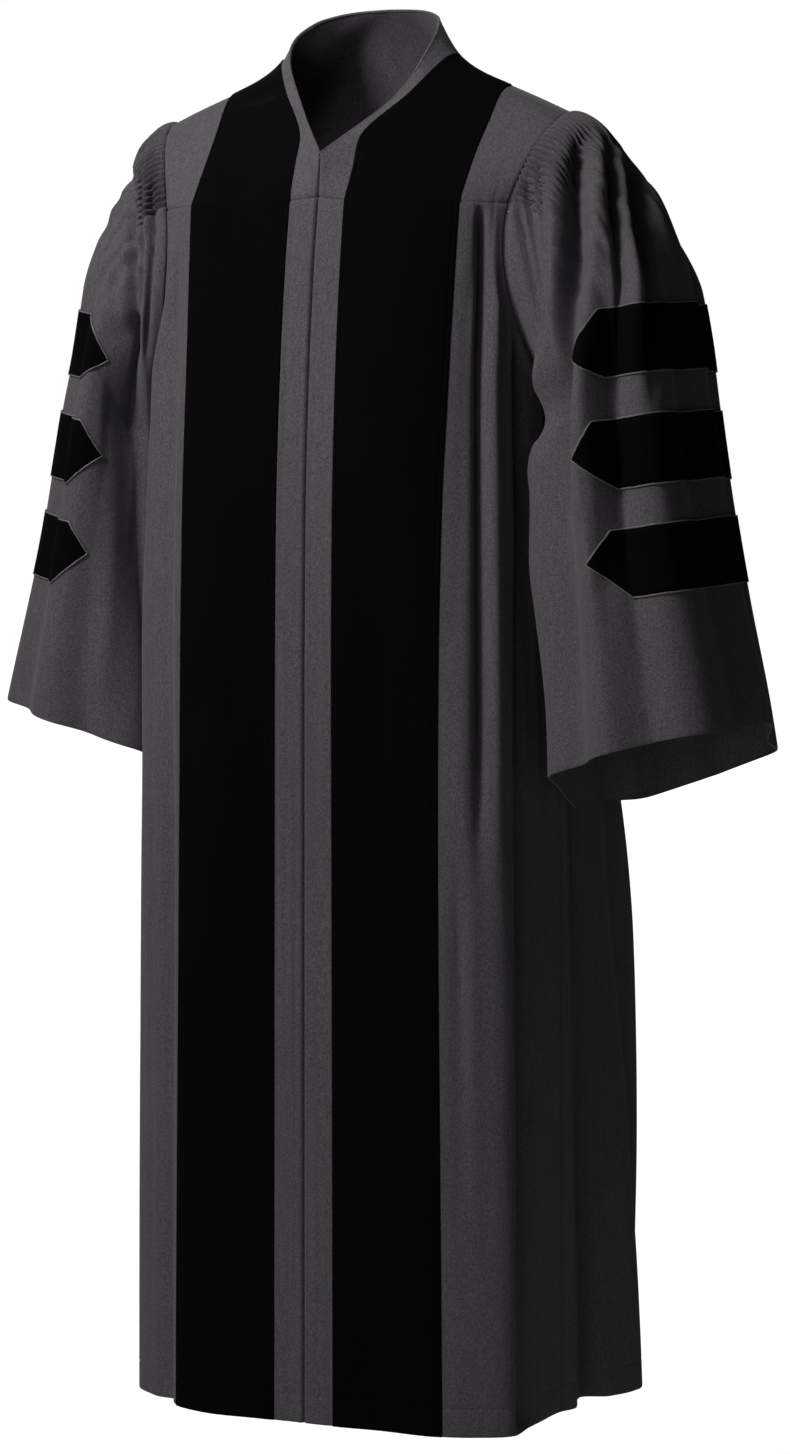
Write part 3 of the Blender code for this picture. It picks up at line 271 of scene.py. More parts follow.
FRONT_CREASES = {
    side: uneven(11 + side, 16, (2.06, 2.95), (0.20, 1.25), (0.10, 0.30), (0.012, 0.035), (0.0006, 0.0018))
    + uneven(21 + side, 12, (0.15, 1.95), (0.25, 1.30), (0.10, 0.35), (0.05, 0.13), (0.0004, 0.0012))
    for side in (1, -1)
}
BACK_CREASES = (
    uneven(31, 34, (-0.95, 0.95), (0.24, 0.55), (0.05, 0.16), (0.008, 0.018), (0.0008, 0.0022))
    + uneven(32, 26, (-0.95, 0.95), (0.50, 1.30), (0.10, 0.35), (0.015, 0.035), (0.0008, 0.0024))
)
SLEEVE_CREASES = {
    side: uneven(41 + side, 34, (-0.24, 0.24), (0.22, 0.65), (0.14, 0.34), (0.005, 0.011), (0.0014, 0.0036))
    + uneven(51 + side, 26, (-0.42, 0.42), (0.85, 1.85), (0.16, 0.42), (0.008, 0.020), (0.0006, 0.0019))
    for side in (1, -1)
}

# Main folds placed one by one. A row is one ridge (height above 0) or trough: its height, its width on its
# near and its far side, how long it takes to rise and to die away, and its line, as (down, across) points.
# On a front, down is the depth below the origin and across is the place, 2 at the velvet's outer edge. On a
# sleeve's head both are metres seen at SEEN_TURN from the front: the depth, and how far to the right.
FRONT_PLEATS = {
    1: [
        (-0.015, 0.024, 0.026, 0.03, 0.2, ((0.148, 2.108), (0.243, 2.15), (0.415, 2.175), (0.569, 2.178),
         (0.82, 2.165))),
        (0.008, 0.034, 0.034, 0.1, 0.2, ((0.16, 2.123), (0.415, 2.11), (0.7, 2.085), (0.9, 2.077))),
        (0.004, 0.03, 0.03, 0.04, 0.2, ((0.15, 2.2), (0.243, 2.24), (0.415, 2.25), (0.569, 2.245),
         (0.85, 2.23))),
        (-0.013, 0.022, 0.13, 0.1, 0.02, ((0.17, 2.345), (0.243, 2.4), (0.415, 2.425), (0.569, 2.4),
         (0.77, 2.355), (1.007, 2.335), (1.232, 2.315), (1.345, 2.308))),
        (0.003, 0.06, 0.03, 0.1, 0.02, ((0.6, 2.8), (0.776, 2.723), (1.025, 2.687), (1.256, 2.663),
         (1.345, 2.655))),
        (-0.002, 0.03, 0.03, 0.1, 0.02, ((0.7, 2.79), (1.025, 2.745), (1.345, 2.715))),
    ],
    -1: [
        (0.004, 0.04, 0.05, 0.03, 0.2, ((0.17, 2.14), (0.243, 2.2), (0.29, 2.26), (0.341, 2.33),
         (0.5, 2.36), (0.74, 2.38))),
        (-0.004, 0.025, 0.025, 0.02, 0.12, ((0.155, 2.19), (0.2, 2.215), (0.25, 2.29), (0.3, 2.4))),
        (-0.004, 0.06, 0.06, 0.1, 0.02, ((0.5, 2.56), (0.9, 2.6), (1.345, 2.64))),
    ],
}
HEAD_FOLDS = {
    1: [
        (-0.007, 0.004, 0.004, 0.02, 0.06, ((0.13, 0.1345), (0.209, 0.1484), (0.259, 0.1567),
         (0.33, 0.164))),
        (-0.008, 0.0045, 0.0045, 0.02, 0.08, ((0.12, 0.1455), (0.221, 0.1584), (0.283, 0.1659),
         (0.36, 0.17))),
        (-0.004, 0.0035, 0.0035, 0.02, 0.06, ((0.105, 0.158), (0.19, 0.166), (0.26, 0.169))),
        (0.006, 0.008, 0.008, 0.03, 0.15, ((0.09, 0.174), (0.207, 0.1715), (0.282, 0.167),
         (0.34, 0.164))),
        (-0.022, 0.0085, 0.0095, 0.04, 0.1, ((0.075, 0.2), (0.187, 0.193), (0.246, 0.1865),
         (0.302, 0.181), (0.349, 0.177), (0.42, 0.175))),
        (0.006, 0.008, 0.012, 0.03, 0.2, ((0.09, 0.22), (0.185, 0.211), (0.246, 0.207), (0.34, 0.2),
         (0.415, 0.1929), (0.49, 0.1843), (0.64, 0.179))),
        (-0.015, 0.006, 0.006, 0.04, 0.14, ((0.08, 0.229), (0.179, 0.2335), (0.231, 0.237),
         (0.36, 0.233))),
        (0.003, 0.005, 0.005, 0.04, 0.1, ((0.09, 0.241), (0.179, 0.245), (0.232, 0.247), (0.33, 0.245))),
        (-0.015, 0.007, 0.008, 0.03, 0.14, ((0.085, 0.25), (0.197, 0.26), (0.243, 0.263),
         (0.38, 0.262))),
        (0.004, 0.01, 0.012, 0.03, 0.2, ((0.1, 0.27), (0.201, 0.2804), (0.244, 0.2876), (0.42, 0.31))),
        (-0.006, 0.012, 0.016, 0.08, 0.2, ((0.33, 0.234), (0.415, 0.229), (0.489, 0.2271),
         (0.527, 0.2208), (0.64, 0.218))),
    ],
    -1: [
        (-0.018, 0.022, 0.005, 0.03, 0.2, ((0.25, -0.24), (0.292, -0.2385), (0.341, -0.235),
         (0.42, -0.233), (0.504, -0.2325), (0.68, -0.2335))),
        (-0.014, 0.005, 0.005, 0.03, 0.14, ((0.1, -0.245), (0.192, -0.242), (0.242, -0.241),
         (0.292, -0.239), (0.4, -0.235))),
        (-0.008, 0.0035, 0.0035, 0.02, 0.06, ((0.12, -0.219), (0.178, -0.218), (0.242, -0.2226),
         (0.32, -0.227))),
        (0.003, 0.004, 0.004, 0.02, 0.06, ((0.13, -0.224), (0.193, -0.2223), (0.241, -0.2258),
         (0.31, -0.229))),
        (-0.008, 0.0035, 0.0035, 0.02, 0.06, ((0.11, -0.232), (0.192, -0.2305), (0.222, -0.231),
         (0.29, -0.235))),
        (-0.005, 0.005, 0.005, 0.03, 0.08, ((0.1, -0.256), (0.192, -0.2565), (0.29, -0.259))),
        (-0.004, 0.004, 0.005, 0.03, 0.1, ((0.1, -0.266), (0.18, -0.268), (0.26, -0.272))),
        (0.011, 0.016, 0.016, 0.08, 0.12, ((0.26, -0.266), (0.355, -0.267), (0.44, -0.27),
         (0.56, -0.274), (0.72, -0.284))),
        (0.007, 0.013, 0.013, 0.08, 0.1, ((0.29, -0.29), (0.355, -0.2955), (0.44, -0.3085),
         (0.56, -0.324), (0.72, -0.349))),
    ],
}
SEEN_TURN = math.radians(23.7)
# The left sleeve's fold in front of the underarm: down is the place down the sleeve, across is the turn
UNDERARM_FOLD = {
    1: [
        (0.02, 0.036, 0.045, 0.3, 0.75, ((0.25, 0.33), (0.55, 0.368), (0.85, 0.388), (1.2, 0.395),
         (1.45, 0.398))),
        (0.013, 0.034, 0.045, 0.45, 0.4, ((0.72, 0.392), (1.3, 0.4), (1.95, 0.41))),
    ],
    -1: [],
}

# Sleeve bars, level with the sleeve's sections, and the corners of their front and back points
# Columns: upper_level, lower_level, upper_x, tip_x, tip_drop, lower_x
BAR_ROWS = [
    (-0.250, -0.316, 0.2645, 0.2440, 0.046, 0.2740),
    (-0.356, -0.423, 0.2682, 0.2528, 0.036, 0.2885),
    (-0.461, -0.527, 0.2855, 0.2692, 0.032, 0.3080),
]
BAR_SHIFT = {1: 0.018, -1: 0.009}
BAR_LIMIT_X = 0.2245

# Levels of the hanging sleeve's rings, at the lower bars' edges, by their place down the sleeve
SLEEVE_Q = [1.2, 1.4, 1.5, 1.7]
SLEEVE_LEVELS = [-0.356, -0.423, -0.461, -0.527]
RING_SPACING = 0.12


def between(*stops):
    """Even steps between stops: (value, steps to the next), ending in a value."""
    found = []
    for (low, count), high in zip(stops[:-1], [stop[0] for stop in stops[1:-1]] + [stops[-1]]):
        found += list(low + (high - low) * np.arange(count) / count)
    return found + [float(stops[-1])]


# How finely the walls are divided, by places across and heights
EDGE_COLUMNS = [0, 0.010, 0.022, 0.034, 0.0405, 0.047, 0.062]
CENTRE_COLUMNS = [0, 0.006, 0.02, 0.04, 0.07, 0.11, 0.16]
SEAM_COLUMNS = [0, 0.0025, 0.006, 0.011, 0.018]
VELVET_COLUMNS_FINE = [1 + k for k in EDGE_COLUMNS] + between((1.085, 30), 1.915)
VELVET_COLUMNS_FINE += [2 - k for k in reversed(EDGE_COLUMNS)]
FRONT_ACROSS = CENTRE_COLUMNS + between((0.22, 10), 0.93) + [0.97] + VELVET_COLUMNS_FINE
FRONT_ACROSS += between((2.03, 56), 2.965) + [3 - k for k in reversed(SEAM_COLUMNS)]
HEM_DOWN = [0, 0.0006, 0.0016, 0.004, 0.012, 0.020, 0.0262, 0.0272, 0.028, 0.0288, 0.0298, 0.034]
SEAM_DOWN = [0, 0.0005, 0.0012, 0.0022, 0.0035, 0.006]
ARM_FOOT_DOWN = [-0.020, -0.013, -0.008, -0.0045, -0.0022, -0.0009, -0.0002, 0, 0.0015, 0.004, 0.008]
HEIGHTS = [HEM_Z + k for k in HEM_DOWN] + between((HEM_Z + 0.042, 130), -0.352)
HEIGHTS += [ARM_BOTTOM_Z - k for k in reversed(ARM_FOOT_DOWN)] + between((-0.306, 24), -0.166)
YOKE_ACROSS = CENTRE_COLUMNS + between((0.22, 8), 0.93) + [0.97] + VELVET_COLUMNS_FINE
YOKE_ACROSS += between((2.03, 24), 2.965) + [3 - k for k in reversed(SEAM_COLUMNS)]
YOKE_UP = [0, 0.004, 0.010, 0.018, 0.03] + between((0.05, 4), V_TIP_T) + between((0.285, 19), 0.965)
YOKE_UP += [0.982, 0.992, 0.997, 1]
BACK_YOKE_DOWN = [1, 1.003, 1.008, 1.018, 1.035] + between((1.06, 12), NAPE_T) + between((1.484, 13), 1.95)
BACK_YOKE_DOWN += [1.97, 1.982, 1.99, 1.996, 2]
BACK_COARSE = 190
BACK_FINE_TO = -0.212
SLEEVE_COARSE = 250
SLEEVE_FINE_ROWS = [0, 0.004, 0.010, 0.018, 0.028] + between((0.04, 19), 0.42)
SLEEVE_COARSE_ROWS = between((0.44, 40), (1.2, 10), (1.4, 5), (1.5, 10), (1.7, 32), 1.965)
SLEEVE_COARSE_ROWS += [1.975, 1.984, 1.991, 1.996, 2.0]

# Sewing. A roll is a depth and how far it reaches from the edge. A line of stitches is how far it lies from
# the edge, its depth and, where given, its half width.
SEAM_DEPTH = 0.0018
SEAM_REACH = 0.0034
CLOSURE = (0.0034, 0.0034)
CLOSURE_STITCH = (0.0065, 0.0002)
HEM_ROLL = (0.0005, 0.0016)
HEM_STITCH = (0.028, 0.0004)
NECK_ROLL = (0.0006, 0.0016)
NECK_STITCH = (0.006, 0.0004, 0.0007)
SHOULDER_DEPTH = 0.0005
PANEL_ROLL = (0.8 * PILE, 0.0026)
PANEL_STITCH = (0.0045, 0.0006)
CORD_RADIUS = 0.0009
CORD_LIFT = 0.0008
CORD_STEP = 0.002
NECK_ROLL_RADIUS = 0.0013
NECK_ROLL_SINK = 0.0009
NECK_IN = 0.01
SHARP_EDGE = math.radians(55)

# Lengths of cloth for one step of the yoke's t at its front, shoulder and back seams, and of the sleeve's q
YOKE_FRONT_SPAN = 0.11
YOKE_SHOULDER_SPAN = 0.10
YOKE_BACK_SPAN = 0.12
CUFF_SPAN = 0.60
HEAD_SPAN = 0.15

# Where folds start or die out and surfaces meet, in places across, turns, steps of t or q, or metres
FOLD_DRIFT = 1.6
FRONT_EDGE_EASE = 0.12
FRONT_CENTRE_EASE = 0.3
BACK_EDGE_EASE = 0.06
BACK_HELD_EASE = 0.05
SWELL_WIDTH = 0.20
YOKE_FIT = 0.35
YOKE_NORMAL_EASE = 0.12
CENTRE_NORMAL_EASE = 0.2
SEAM_NORMAL_EASE = 0.03
SLEEVE_NORMAL_EASE = 0.15
CREASE_EASE = 0.3
INNER_FROM = 0.38
INNER_EASE = 0.06
INNER_CALM = 0.85
SEEN_FROM = -0.06
SEEN_FROM_EASE = 0.06
SEEN_TO = 0.47
SEEN_TO_EASE = 0.05
HEAD_FROM = 0.02
HEAD_EASE = 0.12
FLUTE_EASE = 0.008
BACK_FLUTE_EASE = 0.02
BACK_FLUTE_FADE = 0.4
BESIDE_PLAY = 0.002
UNDERARM_SPREAD = 0.5

# Studio
WHITE = (1.0, 1.0, 1.0, 1.0)
FLOOR_Z = -1.53
FLOOR_HALF = 14.0
FLOOR_GLOW = 1.2
FLOOR_GLOW_SHARE = 0.9
AMBIENT = 0.036
# Columns: name, power, size, beam in degrees, place, target
LIGHTS = [
    ("key", 45.0, 0.6, 180, (-0.75, -1.55, 0.90), (0.0, 0.0, -0.45)),
    ("fill", 7.0, 1.2, 180, (0.3, -2.6, -0.9), (0.0, 0.0, -0.7)),
    ("rim", 10.0, 1.5, 180, (-1.6, 1.8, 1.0), (0.0, 0.0, -0.3)),
    ("neck", 0.09, 0.25, 20, (0.30, -0.50, 0.75), (-0.040, 0.01, -0.03)),
]
CAMERA_PLACE = (1.6676, -3.7455, -0.316)
CAMERA_TURN = (90 - 4.907, 0.0, 23.679)
CAMERA_LENS = 36 * 4100 / 1454

STEP = 5e-4


def smooth(t):
    """Ease from 0 to 1."""
    t = np.clip(t, 0.0, 1.0)
    return t * t * (3 - 2 * t)


def unit(v):
    """Vectors of length 1, along the last axis."""
    return v / np.maximum(np.linalg.norm(v, axis=-1, keepdims=True), 1e-12)


def stack(x, y, z):
    """Points from coordinates of any matching shapes."""
    return np.stack(np.broadcast_arrays(x, y, z), axis=-1)


def soft_min(value, limit, ease=0.003):
    """The smaller of two, rounded off where they meet."""
    return 0.5 * (value + limit - np.sqrt((value - limit) ** 2 + ease ** 2))


def squared(angle, power):
    """How far a unit superellipse reaches at an angle."""
    return (np.abs(np.sin(angle)) ** power + np.abs(np.cos(angle)) ** power) ** (-1 / power)


def mirrored(side):
    """What turns the left-hand form into a side's own."""
    return np.array([side, 1.0, 1.0])


def upright(vectors):
    """Unit vectors turned square to the centre plane."""
    return unit(vectors * np.array([0.0, 1.0, 1.0]))


def wrapped(away, period):
    """A distance round a closed section, or as it is where there is no period."""
    return (away + period / 2) % period - period / 2 if period else away


class Curve:
    """A monotone cubic through (key, value) pairs, held level past its ends."""

    def __init__(self, keys, values):
        order = np.argsort(keys)
        self.x = np.asarray(keys, float)[order]
        self.y = np.asarray(values, float)[order]
        step = np.diff(self.x)
        rise = np.diff(self.y) / step
        slope = np.zeros_like(self.y)
        slope[0] = rise[0]
        slope[-1] = rise[-1]
        for i in range(1, len(rise)):
            if rise[i - 1] * rise[i] > 0:
                before = 2 * step[i] + step[i - 1]
                after = step[i] + 2 * step[i - 1]
                slope[i] = (before + after) / (before / rise[i - 1] + after / rise[i])
        self.slope = slope

    def __call__(self, at):
        at = np.clip(at, self.x[0], self.x[-1])
        i = np.clip(np.searchsorted(self.x, at, side="right") - 1, 0, len(self.x) - 2)
        width = self.x[i + 1] - self.x[i]
        t = (at - self.x[i]) / width
        near = (1 + 2 * t) * (1 - t) ** 2 * self.y[i] + t * (1 - t) ** 2 * width * self.slope[i]
        far = t * t * (3 - 2 * t) * self.y[i + 1] + t * t * (t - 1) * width * self.slope[i + 1]
        return near + far


class Table:
    """Named columns, each a Curve over the first one."""

    def __init__(self, columns, rows):
        data = list(zip(*rows))
        self.curves = {name: Curve(data[0], values) for name, values in zip(columns[1:], data[1:])}

    def __getattr__(self, name):
        return self.curves[name]

    def own(self, name, side, at):
        """A side's own column, left or right."""
        return self.curves[name + ("_left" if side > 0 else "_right")](at)


def cubic_piece(near, far, near_bend, far_bend, width, b):
    """Points b of the way along the pieces of a natural cubic, from their ends and the ends' bends."""
    a = 1 - b
    curved = ((a ** 3 - a) * near_bend + (b ** 3 - b) * far_bend) * width ** 2 / 6
    return a * near + b * far + curved


class Path:
    """A natural cubic spline through (t, x, y, z) rows."""

    def __init__(self, rows):
        rows = np.asarray(rows, float)
        self.t = rows[:, 0]
        self.p = rows[:, 1:]
        count = len(self.t)
        step = np.diff(self.t)
        rise = np.diff(self.p, axis=0) / step[:, None]
        matrix = np.eye(count)
        right = np.zeros((count, 3))
        for i in range(1, count - 1):
            matrix[i, i - 1:i + 2] = step[i - 1], 2 * (step[i - 1] + step[i]), step[i]
            right[i] = 6 * (rise[i] - rise[i - 1])
        self.bend = np.linalg.solve(matrix, right)

    def __call__(self, at):
        at = np.asarray(at, float)
        i = np.clip(np.searchsorted(self.t, at, side="right") - 1, 0, len(self.t) - 2)
        step = (self.t[i + 1] - self.t[i])[..., None]
        b = (at - self.t[i])[..., None] / step
        return cubic_piece(self.p[i], self.p[i + 1], self.bend[i], self.bend[i + 1], step, b)


BODY = Table(BODY_COLUMNS, BODY_ROWS)
VELVET = Table(VELVET_COLUMNS, VELVET_ROWS)
SLEEVE = Table(SLEEVE_COLUMNS, SLEEVE_ROWS)
CUFF = Table(CUFF_COLUMNS, CUFF_ROWS)
CAP = Table(CAP_COLUMNS, CAP_ROWS)
FLUTE = Table(FLUTE_COLUMNS, FLUTE_ROWS)


def section_x(y, z):
    """How far out the body's section reaches beside the armhole."""
    share = np.abs(y - BODY.side_y(z)) / (BODY.side_y(z) - BODY.front_y(z))
    power = BODY.front_power_left(z)
    return BODY.side_x(z) * (1 - np.clip(share, 0, 1) ** power) ** (1 / power)


def armhole_x(y, z):
    """How far out the armhole seam lies: on the body's section, and above it on a line to the shoulder."""
    corner_y = ARM_HALF_DEPTH * math.sin(YOKE_CORNER)
    top = ARM_TOP_X - section_x(corner_y, SEAM_SIDE_Z)
    above = ARM_TOP_X - top * (y / corner_y) ** 2
    return np.where(z > SEAM_SIDE_Z, above, section_x(y, z))


def armhole_point(angle):
    """The armhole seam at an angle from its top, positive towards the front."""
    y = -ARM_HALF_DEPTH * np.sin(angle)
    z = ARM_MID_Z + ARM_HEIGHT * np.cos(angle)
    return stack(armhole_x(y, z), y, z)


def half_opening(z):
    """Half the depth left open between front and back: the armhole, and below it the side seam."""
    across = np.clip((z - ARM_MID_Z) / ARM_HEIGHT, -1.0, 1.0)
    return np.maximum(ARM_HALF_DEPTH * np.sqrt(1 - across ** 2), SEAM_CLOSED / 2)


def edge_angle(z, deep, power):
    """Angle of a half section at which it meets the opening."""
    share = half_opening(z) / deep
    return np.arctan2((1 - share ** power) ** (1 / power), share)


def fold_height(rows, across, down, first, last, period=None):
    """Sum of the folds at a place; first and last are where the cloth starts and ends going down."""
    total = np.zeros(np.broadcast(across, down).shape)
    for top, foot, width_top, width_foot, start, full, height, height_foot in rows:
        drift = smooth((down - first) / (last - first) * FOLD_DRIFT)
        away = wrapped(across - (top + (foot - top) * drift), period)
        width = width_top + (width_foot - width_top) * drift
        tall = height + (height_foot - height) * smooth((down - full) / (last - full))
        rise = smooth((down - start) / (full - start))
        total = total + tall * rise * np.exp(-(away / width) ** 2)
    return total


def crease_height(rows, across, down, period=None):
    """Sum of the short soft creases at a place."""
    total = np.zeros(np.broadcast(across, down).shape)
    for place, lean, middle, length, width, height in rows:
        away = wrapped(across - place - lean * (down - middle), period)
        total = total + height * np.exp(-(away / width) ** 2 - ((down - middle) / length) ** 2)
    return total


def drawn_height(rows, across, down):
    """Sum of the folds placed by hand at a place."""
    total = np.zeros(np.broadcast(across, down).shape)
    for height, near, far, rise, fall, line in rows:
        run = Curve([point[0] for point in line], [point[1] for point in line])
        away = across - run(down)
        fade = smooth((down - line[0][0]) / rise) * smooth((line[-1][0] - down) / fall)
        total = total + height * fade * np.exp(-(away / np.where(away < 0, near, far)) ** 2)
    return total


def level_normal(surface, across, down):
    """Unit normals of a surface's level sections."""
    along = surface(across + STEP, down) - surface(across - STEP, down)
    length = np.hypot(along[..., 0], along[..., 1])
    return stack(along[..., 1] / length, -along[..., 0] / length, 0.0)


def normal(surface, across, down):
    """Unit normals of a surface."""
    along = surface(across + STEP, down) - surface(across - STEP, down)
    rise = surface(across, down + STEP) - surface(across, down - STEP)
    return unit(np.cross(along, rise))


def seam_normals(plain, seam, weight):
    """Normals that turn into the seam's own ones as weight goes to 1."""
    weight = np.asarray(weight)[..., None]
    return unit(plain * (1 - weight) + seam * weight)


def grid(a, b):
    """Two coordinates as arrays of one shape."""
    a, b = np.broadcast_arrays(np.asarray(a, float), np.asarray(b, float))
    return a, b


def side_room(z):
    """How far out the body may reach beside the sleeve at a height."""
    beside = section_x(half_opening(z), z) + BESIDE_PLAY
    under = np.minimum(beside + UNDERARM_SPREAD * (ARM_BOTTOM_Z - z), SIDE_LIMIT)
    return np.where(z > ARM_BOTTOM_Z, beside, under) + 2 * np.maximum(CUFF_FOOT_Z - z, 0)


def front_start(side, z):
    """Angle of the front's section at the velvet's outer edge, and its power."""
    power = BODY.own("front_power", side, z)
    share = VELVET.outer_x(z) / BODY.side_x(z)
    return np.arctan2(share, (1 - share ** power) ** (1 / power)), power


def front_edge(side, z):
    """Place across at which a front ends, 3 below the armhole."""
    start, power = front_start(side, z)
    return 2 + (edge_angle(z, BODY.side_y(z) - BODY.front_y(z), power) - start) / (math.pi / 2 - start)


def front_base(side, place, z):
    """Left half of a front before its folds: place is 0 centre, 1 and 2 the velvet's edges, 3 the side."""
    wide = BODY.side_x(z)
    deep = BODY.side_y(z) - BODY.front_y(z)
    inner = VELVET.inner_x(z)
    start, power = front_start(side, z)
    x = np.where(place < 1, place * inner, inner + (place - 1) * (VELVET.outer_x(z) - inner))
    share = np.clip(np.abs(x) / wide, 0, 0.999)
    angle = start + (place - 2) * (math.pi / 2 - start)
    reach = squared(angle, power)
    flat = place <= 2
    x = np.where(flat, x, wide * reach * np.sin(angle))
    forward = np.where(flat, (1 - share ** power) ** (1 / power), reach * np.cos(angle))
    return stack(x, BODY.side_y(z) - deep * forward, z)


def front_shape(side, place, z):
    """Left half of a front with its folds."""
    place, z = grid(place, z)
    edge = front_edge(side, z)
    rise = fold_height(FRONT_FOLDS[side], place, -z, -SEAM_CENTRE_Z, -HEM_Z)
    rise = rise + crease_height(FRONT_CREASES[side], place, -z) + drawn_height(FRONT_PLEATS[side], place, -z)
    rise = rise * smooth((edge - place) / FRONT_EDGE_EASE) * smooth(place / FRONT_CENTRE_EASE)
    base = front_base(side, place, z)
    point = base + level_normal(partial(front_base, side), place, z) * rise[..., None]
    held = soft_min(point[..., 0], side_room(z))
    joined = smooth((place - edge + FRONT_EDGE_EASE) / FRONT_EDGE_EASE)
    point[..., 0] = held + (base[..., 0] - held) * joined
    return point


def front_place(side, across, z):
    """Place on the front's section of a column, where column 3 runs down the armhole and the side seam."""
    return np.where(across > 2, 2 + (across - 2) * (front_edge(side, z) - 2), across)


def front_surface(side, across, z):
    """A front panel's outer face by columns: 0 centre, 1 and 2 the velvet's edges, 3 the panel's edge."""
    across, z = grid(across, z)
    return front_shape(side, front_place(side, across, z), z) * mirrored(side)


def front_seam_z(across):
    """Height of the front yoke seam."""
    return SEAM_CENTRE_Z + (SEAM_SIDE_Z - SEAM_CENTRE_Z) * np.asarray(across, float) / 3


def back_edge(z):
    """Place at which the back ends, 1 below the armhole."""
    return edge_angle(z, BODY.back_y(z) - BODY.side_y(z), BODY.back_power(z)) / (math.pi / 2)


def back_base(place, z):
    """The back before its folds: place runs from -1 at the right side to 1 at the left one."""
    wide = BODY.side_x(z)
    deep = BODY.back_y(z) - BODY.side_y(z)
    angle = place * math.pi / 2
    reach = squared(angle, BODY.back_power(z))
    return stack(wide * reach * np.sin(angle), BODY.side_y(z) + deep * reach * np.cos(angle), z)


def back_shape(place, z):
    """The back with its folds."""
    place, z = grid(place, z)
    edge = back_edge(z)
    away = np.abs(place)
    swell = np.where(place < 0, BODY.swell_right(z), BODY.swell_left(z))
    bulge = swell * np.exp(-((1 - away - BODY.swell_at(z)) / SWELL_WIDTH) ** 2)
    rise = fold_height(BACK_FOLDS, place, -z, -SEAM_SIDE_Z, -HEM_Z) + bulge
    rise = rise + crease_height(BACK_CREASES, place, -z)
    rise = rise * smooth((edge - away) / BACK_EDGE_EASE)
    base = back_base(place, z)
    point = base - level_normal(back_base, place, z) * rise[..., None]
    behind = np.where(place < 0, SLEEVE_BACK_RIGHT, SLEEVE_BACK_LEFT)
    room = np.where(z > ARM_BOTTOM_Z, 0, 2 * np.maximum(point[..., 1] - behind, 0))
    held = soft_min(np.abs(point[..., 0]), side_room(z) + room) * np.sign(place)
    held = point[..., 0] + (held - point[..., 0]) * smooth((away - 0.3) / 0.2)
    joined = smooth((away - edge + BACK_HELD_EASE) / BACK_HELD_EASE)
    point[..., 0] = held + (base[..., 0] - held) * joined
    return point


def back_seam_z(u):
    """Height of the back yoke seam."""
    return SEAM_SIDE_Z + (BACK_SEAM_CENTRE_Z - SEAM_SIDE_Z) * (1 - np.abs(np.asarray(u, float)))


def back_surface(u, z, fluted=True):
    """The back panel's outer face by columns: -1 the right edge, 0 the centre, 1 the left edge."""
    u, z = grid(u, z)
    place = u * back_edge(z)
    point = back_shape(place, z)
    if fluted:
        phase = (u / BACK_FLUTED + 1) * BACK_FLUTES * math.pi
        fade = smooth((BACK_FLUTE_LENGTH - (back_seam_z(u) - z)) / (BACK_FLUTE_LENGTH * BACK_FLUTE_FADE))
        rise = np.cos(phase) * BACK_FLUTE_DEPTH * fade * smooth((BACK_FLUTED - np.abs(u)) / BACK_FLUTE_EASE)
        point = point - level_normal(back_shape, place, z) * rise[..., None]
    return point


def spread(guides, across):
    """A natural cubic across four guide points in each row, its knots set by the points' distances."""
    p = np.stack(guides, axis=-2)
    gaps = np.linalg.norm(np.diff(p, axis=-2), axis=-1)
    rise = np.diff(p, axis=-2) / gaps[..., None]
    first = 6 * (rise[..., 1, :] - rise[..., 0, :])
    second = 6 * (rise[..., 2, :] - rise[..., 1, :])
    near = 2 * (gaps[..., 0] + gaps[..., 1])[..., None]
    far = 2 * (gaps[..., 1] + gaps[..., 2])[..., None]
    middle = gaps[..., 1][..., None]
    whole = near * far - middle ** 2
    flat = np.zeros_like(first)
    bends = [flat, (first * far - second * middle) / whole, (second * near - first * middle) / whole, flat]
    bend = np.stack(bends, axis=-2)
    k = np.clip(np.floor(across).astype(int), 0, 2)

    def pick(array, index):
        return np.take_along_axis(array, index[..., None, None], axis=-2)[..., 0, :]

    width = np.take_along_axis(gaps, k[..., None], axis=-1)
    b = (across - k)[..., None]
    return cubic_piece(pick(p, k), pick(p, k + 1), pick(bend, k), pick(bend, k + 1), width, b)


def yoke_arm_angle(t):
    """Angle round the armhole where row t of the yoke ends."""
    return YOKE_CORNER * (1 - t)


BACK_SEAM_U = Curve((0.0, 1.0, 2.0, 3.0), (0.0, 0.26, 0.66, 1.0))
FRONT_FOOT = [front_surface(1, k, front_seam_z(k)) for k in range(4)]
BACK_FOOT = [back_surface(BACK_SEAM_U(k), back_seam_z(BACK_SEAM_U(k)), False) for k in range(4)]
CENTRE_FRONT = Path([(0.0, *FRONT_FOOT[0]), (V_TIP_T, *V_TIP)])
CENTRE_BACK = Path([(NAPE_T, *NAPE)] + CENTRE_BACK_ROWS + [(2.0, *BACK_FOOT[0])])
NECKLINE = Path([(V_TIP_T, *V_TIP)] + NECKLINE_ROWS + [(NAPE_T, *NAPE)])
VELVET_INNER = Path([(0.0, *FRONT_FOOT[1])] + VELVET_INNER_ROWS + [(2.0, *BACK_FOOT[1])])
VELVET_OUTER = Path([(0.0, *FRONT_FOOT[2])] + VELVET_OUTER_ROWS + [(2.0, *BACK_FOOT[2])])


